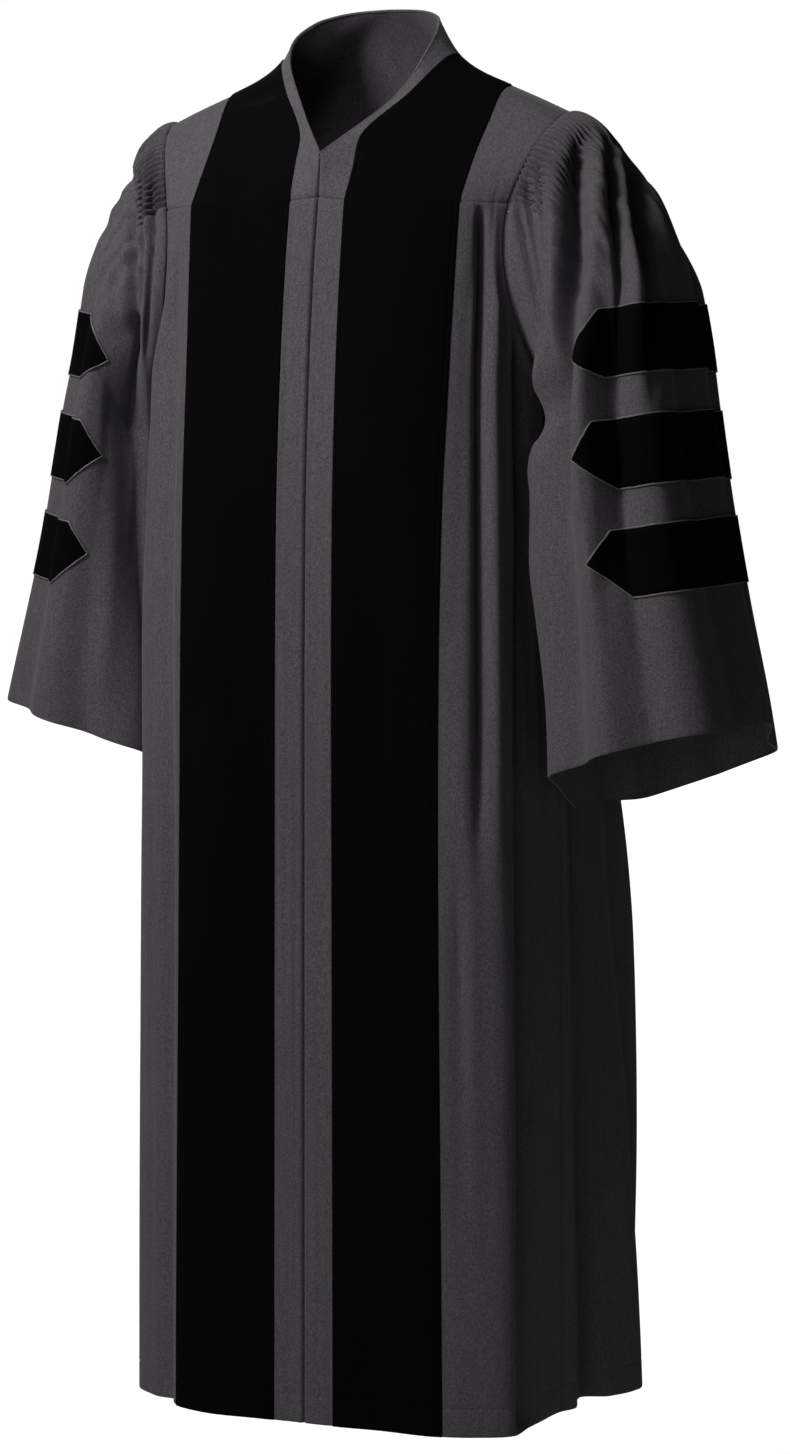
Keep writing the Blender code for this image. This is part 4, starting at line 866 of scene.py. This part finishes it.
def yoke_surface(side, across, t):
    """The yoke's outer face: t is 0 at the front seam, 1 at the shoulder seam and 2 at the back seam."""
    across, t = grid(across, t)
    low = (t < V_TIP_T)[..., None]
    high = (t > NAPE_T)[..., None]
    rim = NECKLINE(np.clip(t, V_TIP_T, NAPE_T))
    guide0 = np.where(low, CENTRE_FRONT(np.minimum(t, V_TIP_T)), rim)
    guide0 = np.where(high, CENTRE_BACK(np.maximum(t, NAPE_T)), guide0)
    guide3 = armhole_point(yoke_arm_angle(t))
    point = spread([guide0, VELVET_INNER(t), VELVET_OUTER(t), guide3], across)
    shape = across.shape + (3,)
    front_row = spread([np.broadcast_to(p, shape) for p in FRONT_FOOT], across)
    fit = front_surface(1, across, front_seam_z(across)) - front_row
    point = point + fit * (1 - smooth(t / YOKE_FIT))[..., None]
    back_row = spread([np.broadcast_to(p, shape) for p in BACK_FOOT], across)
    u = BACK_SEAM_U(across)
    fit = back_surface(u, back_seam_z(u), False) - back_row
    point = point + fit * (1 - smooth((2 - t) / YOKE_FIT))[..., None]
    return point * mirrored(side)


def sleeve_section(side, turn, level):
    """A point round the hanging sleeve: turn 0 outer, 0.25 front, 0.5 inner, -0.25 back."""
    inner = SLEEVE.inner_x(level)
    outer = SLEEVE.own("outer", side, level)
    swing = SLEEVE.own("swing", side, level)
    angle = turn * 2 * math.pi
    reach = squared(angle, SLEEVE_POWER)
    x = (outer + inner) / 2 + (outer - inner) / 2 * reach * np.cos(angle)
    y = swing - SLEEVE.half_depth(level) * reach * np.sin(angle)
    return stack(x, y, level + SLEEVE_LEAN * (x - SLEEVE_MID_X))


def sleeve_base(side, turn, q):
    """Left-hand form of a sleeve before its folds: q is 0 at the armhole, 1 where the cap ends, 2 at the
    cuff."""
    turn, q = grid(turn, q)
    round_turn = wrapped(turn, 1.0)
    angle = turn * 2 * math.pi
    away = np.abs(round_turn)
    cap_level = CAP.level(away)
    cuff_z = CUFF.z(round_turn)
    cuff_level = cuff_z
    for _ in range(2):
        cuff_level = cuff_z - SLEEVE_LEAN * (sleeve_section(side, turn, cuff_level)[..., 0] - SLEEVE_MID_X)
    share = np.clip((q - 1) / (SLEEVE_Q[0] - 1), 0, 1)
    level = np.minimum(np.interp(q, SLEEVE_Q, SLEEVE_LEVELS), cap_level - RING_SPACING * (q - 1))
    level = cap_level + (level - cap_level) * share
    foot = SLEEVE_LEVELS[-1] + (cuff_level - SLEEVE_LEVELS[-1]) * (q - SLEEVE_Q[-1]) / (2 - SLEEVE_Q[-1])
    hang = sleeve_section(side, turn, np.where(q > SLEEVE_Q[-1], foot, level))
    start = armhole_point(angle) + np.array([GAP, 0.0, 0.0])
    lead = stack(CAP.out(away), -CAP.spread(away) * np.sign(round_turn), CAP.drop(away))
    end = sleeve_section(side, turn, cap_level)
    fall = unit(sleeve_section(side, turn, cap_level - 1e-4) - end) * CAP.fall(away)[..., None]
    s = np.minimum(q, 1)[..., None]
    cap = (1 + 2 * s) * (1 - s) ** 2 * start + s * (1 - s) ** 2 * lead
    cap = cap + s * s * (3 - 2 * s) * end + s * s * (s - 1) * fall
    return np.where((q < 1)[..., None], cap, hang)


def sleeve_folds(side, turn, q):
    """Height of the sleeve's folds."""
    rise = fold_height(SLEEVE_FOLDS[side], turn, q, 0.0, 2.0, period=1.0)
    rise = rise + crease_height(SLEEVE_CREASES[side], turn, q, period=1.0) * smooth(q / CREASE_EASE)
    inner = smooth((np.abs(wrapped(turn, 1.0)) - INNER_FROM) / INNER_EASE)
    return rise * (1 - INNER_CALM * inner)


def sleeve_folded(side, turn, q):
    """Left-hand form of a sleeve with its folds."""
    turn, q = grid(turn, q)
    base = sleeve_base(side, turn, q)
    seen = base[..., 0] * side * math.cos(SEEN_TURN) + base[..., 1] * math.sin(SEEN_TURN)
    facing = smooth((turn - SEEN_FROM) / SEEN_FROM_EASE) * smooth((SEEN_TO - turn) / SEEN_TO_EASE)
    drawn = drawn_height(HEAD_FOLDS[side], seen, -base[..., 2]) + drawn_height(UNDERARM_FOLD[side], turn, q)
    drawn = drawn * facing * smooth((q - HEAD_FROM) / HEAD_EASE)
    rise = sleeve_folds(side, turn, q) + drawn
    return base + normal(partial(sleeve_base, side), turn, q) * rise[..., None]


def sleeve_normal(side, turn, q):
    """Unit normals of the folded sleeve, square to the armhole where it is sewn in."""
    plain = normal(partial(sleeve_folded, side), turn, q)
    start = armhole_point(turn * 2 * math.pi) - np.array([0.0, 0.0, ARM_MID_Z])
    return seam_normals(plain, upright(start), 1 - smooth(q / SLEEVE_NORMAL_EASE))


def sleeve_surface(side, turn, q):
    """A sleeve's outer face, with its cartridge pleats at the armhole."""
    turn, q = grid(turn, q)
    phase = (turn / FLUTED_TURN + 1) * SLEEVE_FLUTES * math.pi
    flutes = np.cos(phase) * smooth((FLUTED_TURN - np.abs(turn)) / FLUTE_EASE) * FLUTE.height(q)
    point = sleeve_folded(side, turn, q) + sleeve_normal(side, turn, q) * flutes[..., None]
    return point * mirrored(side)


class Rows:
    """Rows of points and their normals, joined into one skin. A block's rows share their places across."""

    def __init__(self, *blocks):
        self.keys = []
        self.points = []
        self.normals = []
        for keys, points, normals in blocks:
            self.keys += [np.asarray(keys, float)] * len(points)
            self.points += list(points)
            self.normals += list(normals)

    def faces(self, closed, flip):
        """Triangles between neighbouring rows."""
        starts = np.cumsum([0] + [len(k) for k in self.keys])
        found = []
        rings = []
        for start, keys in zip(starts, self.keys):
            ring = start + np.arange(len(keys))
            rings.append((np.append(ring, start), np.append(keys, keys[0] + 1)) if closed else (ring, keys))
        for (low, low_keys), (high, high_keys) in zip(rings, rings[1:]):
            if len(low) == len(high):
                found.append(np.stack([low[:-1], low[1:], high[1:]], axis=-1))
                found.append(np.stack([low[:-1], high[1:], high[:-1]], axis=-1))
                continue
            i = 0
            j = 0
            joined = []
            while i < len(low) - 1 or j < len(high) - 1:
                next_low = low_keys[i + 1] if i < len(low) - 1 else math.inf
                next_high = high_keys[j + 1] if j < len(high) - 1 else math.inf
                if next_low + low_keys[i] <= next_high + high_keys[j]:
                    joined.append((low[i], low[i + 1], high[j]))
                    i += 1
                else:
                    joined.append((low[i], high[j + 1], high[j]))
                    j += 1
            found.append(np.array(joined))
        found = np.concatenate(found)
        return found[:, ::-1] if flip else found

    def skin(self, out):
        """All points, moved out along their normals."""
        return np.concatenate(self.points) + np.concatenate(self.normals) * out


def wall(outer, inner, faces, open_at_centre=False):
    """A closed wall between two matching skins; the rim may be left off on the plane x = 0."""
    count = len(outer)
    edges = np.concatenate([faces[:, [0, 1]], faces[:, [1, 2]], faces[:, [2, 0]]])
    ahead = edges[:, 0] * count + edges[:, 1]
    back = edges[:, 1] * count + edges[:, 0]
    rim = edges[~np.isin(ahead, back)]
    if open_at_centre:
        rim = rim[~np.all(np.abs(outer[rim, 0]) < 1e-6, axis=1)]
    a, b = rim.T
    sides = [np.stack([b, a, a + count], axis=-1), np.stack([b, a + count, b + count], axis=-1)]
    return np.concatenate([outer, inner]), np.concatenate([faces, faces[:, ::-1] + count] + sides)


def ends(points):
    """How far along each row its points lie from the row's first and last one."""
    step = np.linalg.norm(np.diff(points, axis=-2), axis=-1)
    along = np.cumsum(np.concatenate([np.zeros_like(step[..., :1]), step], axis=-1), axis=-1)
    return along, along[..., -1:] - along


def turned(distance, depth=SEAM_DEPTH, reach=SEAM_REACH):
    """How far a turned or sewn edge rolls in at a distance from it."""
    return depth * np.clip(1 - distance / reach, 0, 1) ** 2


def stitched(distance, at, depth, half=0.0009):
    """How far a line of stitching sinks the cloth at a distance from the edge."""
    return depth * np.exp(-((distance - at) / half) ** 2)


def hemmed(up):
    """How far a hem's roll and its stitching sink the cloth at a distance from the edge."""
    return stitched(up, *HEM_STITCH) + turned(up, *HEM_ROLL)


def sunk(points, out, depth):
    """Points moved in along their normals."""
    return points - out * np.asarray(depth)[..., None]


def front_rows(side, columns, velvet=False):
    """Rows of a front panel, hem to top."""
    columns = np.array(columns, float)
    top = front_seam_z(columns) - GAP
    heights = [np.full(columns.shape, z) for z in HEIGHTS] + [top - down for down in reversed(SEAM_DOWN)]
    across, z = grid(columns, np.array(heights))
    shape = partial(front_shape, side)
    place = front_place(side, across, z)
    near = 1 - smooth((front_seam_z(across) - z) / SEAM_NORMAL_EASE)
    out = seam_normals(normal(shape, place, z), level_normal(shape, place, z), near)
    out = seam_normals(out, upright(out), 1 - smooth(across / CENTRE_NORMAL_EASE)) * mirrored(side)
    points = front_surface(side, across, z)
    points[..., 0] = side * np.maximum(side * points[..., 0], GAP / 2)
    depth = hemmed(z - HEM_Z)
    if not velvet:
        first, last = ends(points)
        depth = depth + turned(first, *CLOSURE) + turned(last) + turned(top - z)
        depth = depth + stitched(first, *CLOSURE_STITCH)
    return Rows((columns, sunk(points, out, depth), out))


def yoke_rows(side, columns, heights, velvet=False):
    """Rows of a yoke, from t = heights[0] on."""
    columns = np.array(columns, float)
    across, t = grid(columns, np.array(heights, float)[:, None])
    out = normal(partial(yoke_surface, side), across, np.clip(t, STEP, 2 - STEP)) * side
    z = front_seam_z(columns)
    place = front_place(side, columns, z)
    foot = level_normal(partial(front_shape, side), place, z) * mirrored(side)
    out = seam_normals(out, foot, 1 - smooth(t / YOKE_NORMAL_EASE))
    u = BACK_SEAM_U(columns) * side
    foot = -level_normal(back_shape, u * back_edge(back_seam_z(u)), back_seam_z(u))
    out = seam_normals(out, foot, 1 - smooth((2 - t) / YOKE_NORMAL_EASE))
    joined = (t < V_TIP_T + 0.001) | (t > NAPE_T - 0.001)
    out = seam_normals(out, upright(out), (1 - smooth(across / CENTRE_NORMAL_EASE)) * joined)
    points = yoke_surface(side, across, t)
    points[..., 1] += np.where(np.abs(t - 1) < 1e-9, GAP / 2 * (-1 if heights[0] < 1 else 1), 0)
    apart = side * np.maximum(side * points[..., 0], GAP / 2)
    points[..., 0] = np.where(t <= V_TIP_T, apart, points[..., 0])
    depth = np.zeros(t.shape)
    if not velvet:
        first, last = ends(points)
        depth = turned(last) + turned(t * YOKE_FRONT_SPAN)
        depth = depth + turned(np.abs(t - 1) * YOKE_SHOULDER_SPAN, SHOULDER_DEPTH)
        depth = depth + turned((2 - t) * YOKE_BACK_SPAN)
        closure = turned(first, *CLOSURE)
        rim = turned(first, *NECK_ROLL) + stitched(first, *NECK_STITCH)
        depth = depth + np.where(t < V_TIP_T, closure, np.where(t < NAPE_T, rim, 0))
    return Rows((columns, sunk(points, out, depth), out))


def back_rows():
    """Rows of the back, top to hem."""
    fine = between((-0.995, 4), (-BACK_FLUTED, BACK_FLUTES * 9), (BACK_FLUTED, 4), 0.995)
    fine = np.array([-1, -0.998] + fine + [0.998, 1])
    coarse = np.linspace(-1, 1, BACK_COARSE + 1)
    coarse = np.concatenate([[-1, -0.997, -0.993], coarse[1:-1], [0.993, 0.997, 1]])
    blocks = []
    upper = [back_seam_z(fine) - GAP - down for down in SEAM_DOWN]
    upper += [np.full(fine.shape, z) for z in reversed(HEIGHTS) if z > BACK_FINE_TO]
    lower = [np.full(coarse.shape, z) for z in reversed(HEIGHTS) if z <= BACK_FINE_TO]
    for columns, heights in ((fine, upper), (coarse, lower)):
        u, z = grid(columns, np.array(heights))
        near = 1 - smooth((back_seam_z(u) - z) / SEAM_NORMAL_EASE)
        place = u * back_edge(z)
        out = seam_normals(-normal(back_shape, place, z), -level_normal(back_shape, place, z), near)
        points = back_surface(u, z)
        first, last = ends(points)
        depth = hemmed(z - HEM_Z) + turned(np.minimum(first, last)) + turned(back_seam_z(u) - GAP - z)
        blocks.append((columns, sunk(points, out, depth), out))
    return Rows(*blocks)


def sleeve_rows(side):
    """Rings of a sleeve, armhole to cuff."""
    fine = between((-FLUTED_TURN, SLEEVE_FLUTES * 10), (FLUTED_TURN, 110), 1 - FLUTED_TURN)[:-1]
    coarse = np.arange(SLEEVE_COARSE) / SLEEVE_COARSE - FLUTED_TURN
    blocks = []
    for turns, places in ((np.array(fine), SLEEVE_FINE_ROWS), (coarse, SLEEVE_COARSE_ROWS)):
        turn, q = grid(turns, np.array(places)[:, None])
        out = sleeve_normal(side, turn, q) * mirrored(side)
        points = sleeve_surface(side, turn, q)
        depth = turned(q * HEAD_SPAN) + hemmed((2 - q) * CUFF_SPAN)
        blocks.append((turns, sunk(points, out, depth), out))
    return Rows(*blocks)


def velvet_rows(side):
    """Rows of a velvet panel, hem to shoulder seam, on the front's and the yoke's own surfaces, and how far
    the pile is pressed down along its edges."""
    low = front_rows(side, VELVET_COLUMNS_FINE, velvet=True)
    high = yoke_rows(side, VELVET_COLUMNS_FINE, YOKE_UP, velvet=True)
    rows = Rows((VELVET_COLUMNS_FINE, low.points[:-1] + high.points, low.normals[:-1] + high.normals))
    first, last = ends(np.array(rows.points))
    near = np.minimum(first, last)
    depth = turned(near, *PANEL_ROLL) + stitched(near, *PANEL_STITCH)
    return rows, depth.ravel()


# Shaders: object coordinates are metres in the robe's own frame

def node(tree, kind, inputs):
    """A new shader node, its inputs linked to sockets or set to values."""
    made = tree.nodes.new("ShaderNode" + kind)
    for key, value in inputs.items():
        if isinstance(value, bpy.types.NodeSocket):
            tree.links.new(value, made.inputs[key])
        else:
            made.inputs[key].default_value = value
    return made


def nodes_of(name):
    """A new material's node tree, its shader and its object coordinates."""
    made = bpy.data.materials.new(name)
    made.use_nodes = True
    tree = made.node_tree
    return made, tree, tree.nodes["Principled BSDF"], node(tree, "TexCoord", {}).outputs["Object"]


def noise(tree, place, scale, detail, stretch=None):
    """A noise pattern's value."""
    if stretch:
        place = node(tree, "Mapping", {"Vector": place, "Scale": stretch}).outputs["Vector"]
    return node(tree, "TexNoise", {"Vector": place, "Scale": scale, "Detail": detail}).outputs["Fac"]


def ramp(tree, value, low, high, start=0.3, end=0.7):
    """Two colours or greys mixed by a value."""
    made = node(tree, "ValToRGB", {"Fac": value})
    for element, at, shade in zip(made.color_ramp.elements, (start, end), (low, high)):
        element.position = at
        element.color = (*np.broadcast_to(shade, 3), 1.0)
    return made.outputs["Color"]


def multiplied(tree, first, second):
    """Two colours multiplied."""
    made = tree.nodes.new("ShaderNodeMix")
    made.data_type = "RGBA"
    made.blend_type = "MULTIPLY"
    made.inputs["Factor"].default_value = 1.0
    tree.links.new(first, made.inputs["A"])
    tree.links.new(second, made.inputs["B"])
    return made.outputs["Result"]


def seen_as(tree, plain, seen, share, out):
    """Mix a second shader in, by a share, where the camera itself looks."""
    rays = node(tree, "LightPath", {}).outputs["Is Camera Ray"]
    part = node(tree, "Math", {0: rays, 1: share})
    part.operation = "MULTIPLY"
    mixed = node(tree, "MixShader", {"Fac": part.outputs["Value"], 1: plain, 2: seen})
    tree.links.new(mixed.outputs["Shader"], out)


def fabric(name, patterns, shades, rough, bumps, settings):
    """A cloth's material: noise patterns by name, the shades they give, multiplied together, a roughness
    between two values, and bumps as (pattern, strength, distance)."""
    made, tree, shader, place = nodes_of(name)
    values = {key: noise(tree, place, *spec) for key, spec in patterns.items()}
    color = None
    for key, *stops in shades:
        shade = ramp(tree, values[key], *stops)
        color = multiplied(tree, color, shade) if color else shade
    tree.links.new(color, shader.inputs["Base Color"])
    tree.links.new(ramp(tree, values[rough[0]], *rough[1:]), shader.inputs["Roughness"])
    for key, value in settings.items():
        shader.inputs[key].default_value = value
    last = {}
    for key, strength, distance in bumps:
        sizes = {"Strength": strength, "Distance": distance}
        last = {"Normal": node(tree, "Bump", {"Height": values[key], **sizes, **last}).outputs["Normal"]}
    tree.links.new(last["Normal"], shader.inputs["Normal"])
    return made


# A fine pebbled weave with faint lengthwise slubs
CREPE = fabric(
    "charcoal_crepe",
    {"grain": (620, 3.0), "slub": (260, 2.0, (1.0, 1.0, 0.12)), "cloud": (5, 3.0)},
    [("grain", (0.045, 0.0405, 0.045), (0.103, 0.0925, 0.1025), 0.32, 0.68),
     ("slub", 0.86, 1.0), ("cloud", (0.90, 0.90, 0.91), 1.0)],
    ("grain", 0.78, 0.92),
    [("slub", 0.20, 0.0004), ("grain", 0.45, 0.0003)],
    {"Specular IOR Level": 0.25, "Sheen Weight": 0.12, "Sheen Roughness": 0.45},
)
# Pile that drinks light face on, brushed in faint uneven patches
VELVET_PILE = fabric(
    "black_velvet",
    {"pile": (900, 2.0), "brushed": (16, 3.0, (1.0, 1.0, 0.35))},
    [("brushed", (0.0009, 0.0009, 0.0012), (0.0020, 0.0020, 0.0026), 0.35, 0.65), ("pile", 0.6, 1.0)],
    ("brushed", 0.88, 1.0),
    [("brushed", 0.3, 0.002), ("pile", 0.6, 0.0004)],
    {"Specular IOR Level": 0.05, "Sheen Weight": 0.008, "Sheen Roughness": 0.30,
     "Sheen Tint": (0.75, 0.78, 1.0, 1.0)},
)
# Twisted cord
CORD = fabric(
    "corded_edge",
    {"twist": (1400, 2.0)},
    [("twist", (0.070, 0.066, 0.067), (0.155, 0.147, 0.147), 0.35, 0.65)],
    ("twist", 0.5, 0.7),
    [("twist", 0.5, 0.0003)],
    {},
)


def floor_material():
    """Matt white studio floor that glows evenly where the camera sees it, so that it meets the backdrop
    without a line.
    """
    made, tree, shader, place = nodes_of("studio_floor")
    dust = noise(tree, place, 3, 2.0)
    tree.links.new(ramp(tree, dust, 0.56, 0.60), shader.inputs["Base Color"])
    shader.inputs["Roughness"].default_value = 0.9
    shader.inputs["Specular IOR Level"].default_value = 0.0
    glow = node(tree, "Emission", {"Strength": FLOOR_GLOW}).outputs["Emission"]
    out = tree.nodes["Material Output"].inputs["Surface"]
    seen_as(tree, shader.outputs["BSDF"], glow, FLOOR_GLOW_SHARE, out)
    return made


ROBE = bpy.data.collections.new("robe_cloth")
bpy.context.scene.collection.children.link(ROBE)


def as_mesh(name, points, faces, cloth):
    """An object from points and faces, smooth but for its cut edges."""
    mesh = bpy.data.meshes.new(name)
    mesh.from_pydata(points.tolist(), [], faces.tolist())
    mesh.shade_smooth()
    mesh.materials.append(cloth)
    mesh.validate()
    mesh.set_sharp_from_angle(angle=SHARP_EDGE)
    piece = bpy.data.objects.new(name, mesh)
    ROBE.objects.link(piece)
    return piece


def dress(piece, part, with_pieces=()):
    """Hang a piece on the root body and hide the imported solid it stands for."""
    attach(piece, "root")
    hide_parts(part)


def tube(name, line, out, radius, cloth, sides=6):
    """A thin cord along a closed line of points."""
    count = len(line)
    ahead = unit(np.roll(line, -1, axis=0) - np.roll(line, 1, axis=0))
    up = unit(out - ahead * np.sum(out * ahead, axis=-1, keepdims=True))
    sideways = np.cross(ahead, up)
    turns = np.arange(sides) * 2 * math.pi / sides
    ring = [line + radius * (up * math.cos(a) + sideways * math.sin(a)) for a in turns]
    points = np.stack(ring, axis=1).reshape(-1, 3)
    i, k = np.meshgrid(np.arange(count), np.arange(sides), indexing="ij")
    ahead = (i + 1) % count
    beside = (k + 1) % sides
    faces = np.stack([i * sides + k, i * sides + beside, ahead * sides + beside, ahead * sides + k], axis=-1)
    return as_mesh(name, points, faces.reshape(-1, 4), cloth)


def boundary_loop(made):
    """The open edge of a mesh as points and normals in order."""
    border = [edge for edge in made.edges if len(edge.link_faces) == 1]
    found = {}
    for edge in border:
        for a, b in (edge.verts, reversed(edge.verts)):
            found.setdefault(a, []).append(b)
    start = border[0].verts[0]
    order = [start]
    last = None
    while True:
        steps = [vert for vert in found[order[-1]] if vert is not last]
        last = order[-1]
        if not steps or steps[0] is start:
            break
        order.append(steps[0])
    return np.array([tuple(v.co) for v in order]), np.array([tuple(v.normal) for v in order])


def evenly(line, out, step):
    """A closed line and its normals at even steps."""
    ring = np.concatenate([line, line[:1]])
    far = np.concatenate([[0], np.cumsum(np.linalg.norm(np.diff(ring, axis=0), axis=-1))])
    at = np.linspace(0, far[-1], int(far[-1] / step) + 1)[:-1]
    normals = np.concatenate([out, out[:1]])
    points = np.stack([np.interp(at, far, ring[:, k]) for k in range(3)], axis=-1)
    return points, unit(np.stack([np.interp(at, far, normals[:, k]) for k in range(3)], axis=-1))


def cut_bar(name, side, rows, faces, row):
    """A pointed velvet bar with its corded edge: the sleeve's own facets, pointed and laid just outside."""
    upper, lower, upper_x, tip_x, tip_drop, lower_x = row
    upper_x, tip_x, lower_x = (x + BAR_SHIFT[side] for x in (upper_x, tip_x, lower_x))
    upper_z = upper + SLEEVE_LEAN * (upper_x - SLEEVE_MID_X)
    lower_z = lower + SLEEVE_LEAN * (lower_x - SLEEVE_MID_X)
    tip_z = upper_z - tip_drop
    cuts = [
        (tip_x, tip_z, -(upper_z - tip_z), upper_x - tip_x),
        (tip_x, tip_z, -(tip_z - lower_z), -(lower_x - tip_x)),
        (upper_x, upper_z, -SLEEVE_LEAN, 1.0),
        (lower_x, lower_z, SLEEVE_LEAN, -1.0),
    ]
    points = np.concatenate(rows.points)
    high = points[:, 2] - SLEEVE_LEAN * (side * points[:, 0] - SLEEVE_MID_X)
    keep = (side * points[:, 0] > BAR_LIMIT_X) & (high < upper + 0.02) & (high > lower - 0.02)
    used, picked = np.unique(faces[keep[faces].all(axis=1)], return_inverse=True)
    mesh = bpy.data.meshes.new(name)
    mesh.from_pydata(points[used].tolist(), [], picked.reshape(-1, 3).tolist())
    made = bmesh.new()
    made.from_mesh(mesh)
    for x, z, normal_x, normal_z in cuts:
        everything = made.verts[:] + made.edges[:] + made.faces[:]
        across = Vector((side * normal_x, 0, normal_z)).normalized()
        bmesh.ops.bisect_plane(made, geom=everything, dist=0.0004, plane_co=(side * x, 0, z),
                               plane_no=across, clear_outer=True)
    bmesh.ops.remove_doubles(made, verts=made.verts[:], dist=0.0001)
    bmesh.ops.delete(made, geom=[vert for vert in made.verts if not vert.link_faces], context="VERTS")
    made.normal_update()
    line, out = boundary_loop(made)
    for vert in made.verts:
        vert.co += vert.normal * GAP
    made.to_mesh(mesh)
    made.free()
    mesh.shade_smooth()
    mesh.materials.append(VELVET_PILE)
    piece = bpy.data.objects.new(name + "_pile", mesh)
    ROBE.objects.link(piece)
    pile = piece.modifiers.new("pile", "SOLIDIFY")
    pile.thickness = PILE
    pile.offset = 1.0
    line, out = evenly(line, out, CORD_STEP)
    cord = tube(name + "_cord", line + out * (GAP + CORD_LIFT), out, CORD_RADIUS, CORD)
    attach(cord, "root")
    return piece, cord


def neck_edge():
    """The turned edge of the neck: a fine roll from the V's tip round the nape and back."""
    t = np.array(between((V_TIP_T, 60), NAPE_T))
    at = np.zeros(t.shape)
    left = yoke_surface(1, at, t)
    out = normal(partial(yoke_surface, 1), at + NECK_IN, t)
    line = np.concatenate([left, (left * mirrored(-1))[-2:0:-1]])
    out = np.concatenate([out, (out * mirrored(-1))[-2:0:-1]])
    roll = tube("neck_edge", line - out * NECK_ROLL_SINK, out, NECK_ROLL_RADIUS, CREPE, 8)
    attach(roll, "root")
    return roll


def cloth(name, rows, look, out=0.0, sink=0.0, closed=False, flip=False, open_at_centre=False):
    """A closed thin shell from a skin's rows: cloth inside it, or velvet that starts a gap outside it and
    reaches out, less how far it is pressed down."""
    outer = rows.skin(out) - np.concatenate(rows.normals) * sink
    inner = rows.skin(GAP if out else -WALL)
    points, faces = wall(outer, inner, rows.faces(closed, flip), open_at_centre)
    return as_mesh(name, points, faces, look)


def build():
    """Make every piece of cloth."""
    piece = cloth("back_cloth", back_rows(), CREPE)
    dress(piece, "back")

    piece = cloth("yoke_back_cloth", yoke_rows(1, YOKE_ACROSS, BACK_YOKE_DOWN), CREPE, open_at_centre=True)
    mirror = piece.modifiers.new("both halves", "MIRROR")
    mirror.merge_threshold = 0.0001
    dress(piece, "yoke_back", [neck_edge()])

    for side, word in ((1, "left"), (-1, "right")):
        flip = side < 0
        front = "front_" + word
        yoke = "yoke_front_" + word
        piece = cloth(front + "_cloth", front_rows(side, FRONT_ACROSS), CREPE, flip=flip)
        dress(piece, front)
        piece = cloth(yoke + "_cloth", yoke_rows(side, YOKE_ACROSS, YOKE_UP), CREPE, flip=flip)
        dress(piece, yoke)
        rows, depth = velvet_rows(side)
        piece = cloth("velvet_%s_pile" % word, rows, VELVET_PILE, GAP + PILE, depth[:, None], flip=flip)
        dress(piece, "velvet_" + word)
        rows = sleeve_rows(side)
        piece = cloth("sleeve_%s_cloth" % word, rows, CREPE, closed=True, flip=flip)
        dress(piece, "sleeve_" + word)
        faces = rows.faces(True, flip)
        for number, row in enumerate(BAR_ROWS, 1):
            name = "bar_%s_%d" % (word, number)
            bar, cord = cut_bar(name, side, rows, faces, row)
            dress(bar, name, [cord])


def studio():
    """Floor, light and camera."""
    mesh = bpy.data.meshes.new("studio_floor")
    corners = [(FLOOR_HALF * x, FLOOR_HALF * y, 0.0) for x, y in ((-1, -1), (1, -1), (1, 1), (-1, 1))]
    mesh.from_pydata(corners, [], [(0, 1, 2, 3)])
    mesh.materials.append(floor_material())
    floor = bpy.data.objects.new("studio_floor", mesh)
    floor.location = (0.0, 0.0, FLOOR_Z)
    bpy.context.scene.collection.objects.link(floor)
    floor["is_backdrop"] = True
    bpy.context.scene.view_settings.view_transform = "Standard"
    world = bpy.data.worlds.new("studio")
    world.use_nodes = True
    bpy.context.scene.world = world
    tree = world.node_tree
    sky = tree.nodes["Background"]
    sky.inputs["Color"].default_value = WHITE
    sky.inputs["Strength"].default_value = AMBIENT
    backdrop = node(tree, "Background", {"Color": WHITE, "Strength": 1.0}).outputs["Background"]
    seen_as(tree, sky.outputs["Background"], backdrop, 1.0, tree.nodes["World Output"].inputs["Surface"])
    for name, power, size, beam, place, target in LIGHTS:
        light = bpy.data.lights.new(name, "AREA")
        light.energy = power
        light.size = size
        light.spread = math.radians(beam)
        lamp = bpy.data.objects.new(name, light)
        lamp.location = place
        lamp.rotation_euler = (Vector(target) - Vector(place)).to_track_quat("-Z", "Y").to_euler()
        bpy.context.scene.collection.objects.link(lamp)
    camera = bpy.data.cameras.new("photo_camera")
    camera.lens = CAMERA_LENS
    camera.sensor_width = 36.0
    camera.clip_start = 0.05
    eye = bpy.data.objects.new("photo_camera", camera)
    eye.location = CAMERA_PLACE
    eye.rotation_euler = [math.radians(a) for a in CAMERA_TURN]
    bpy.context.scene.collection.objects.link(eye)
    bpy.context.scene.camera = eye


build()
studio()
boxes = {"cad": CAD_BOX, "visual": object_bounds()}
{key: [list(map(float, corner)) for corner in box] for key, box in boxes.items()}
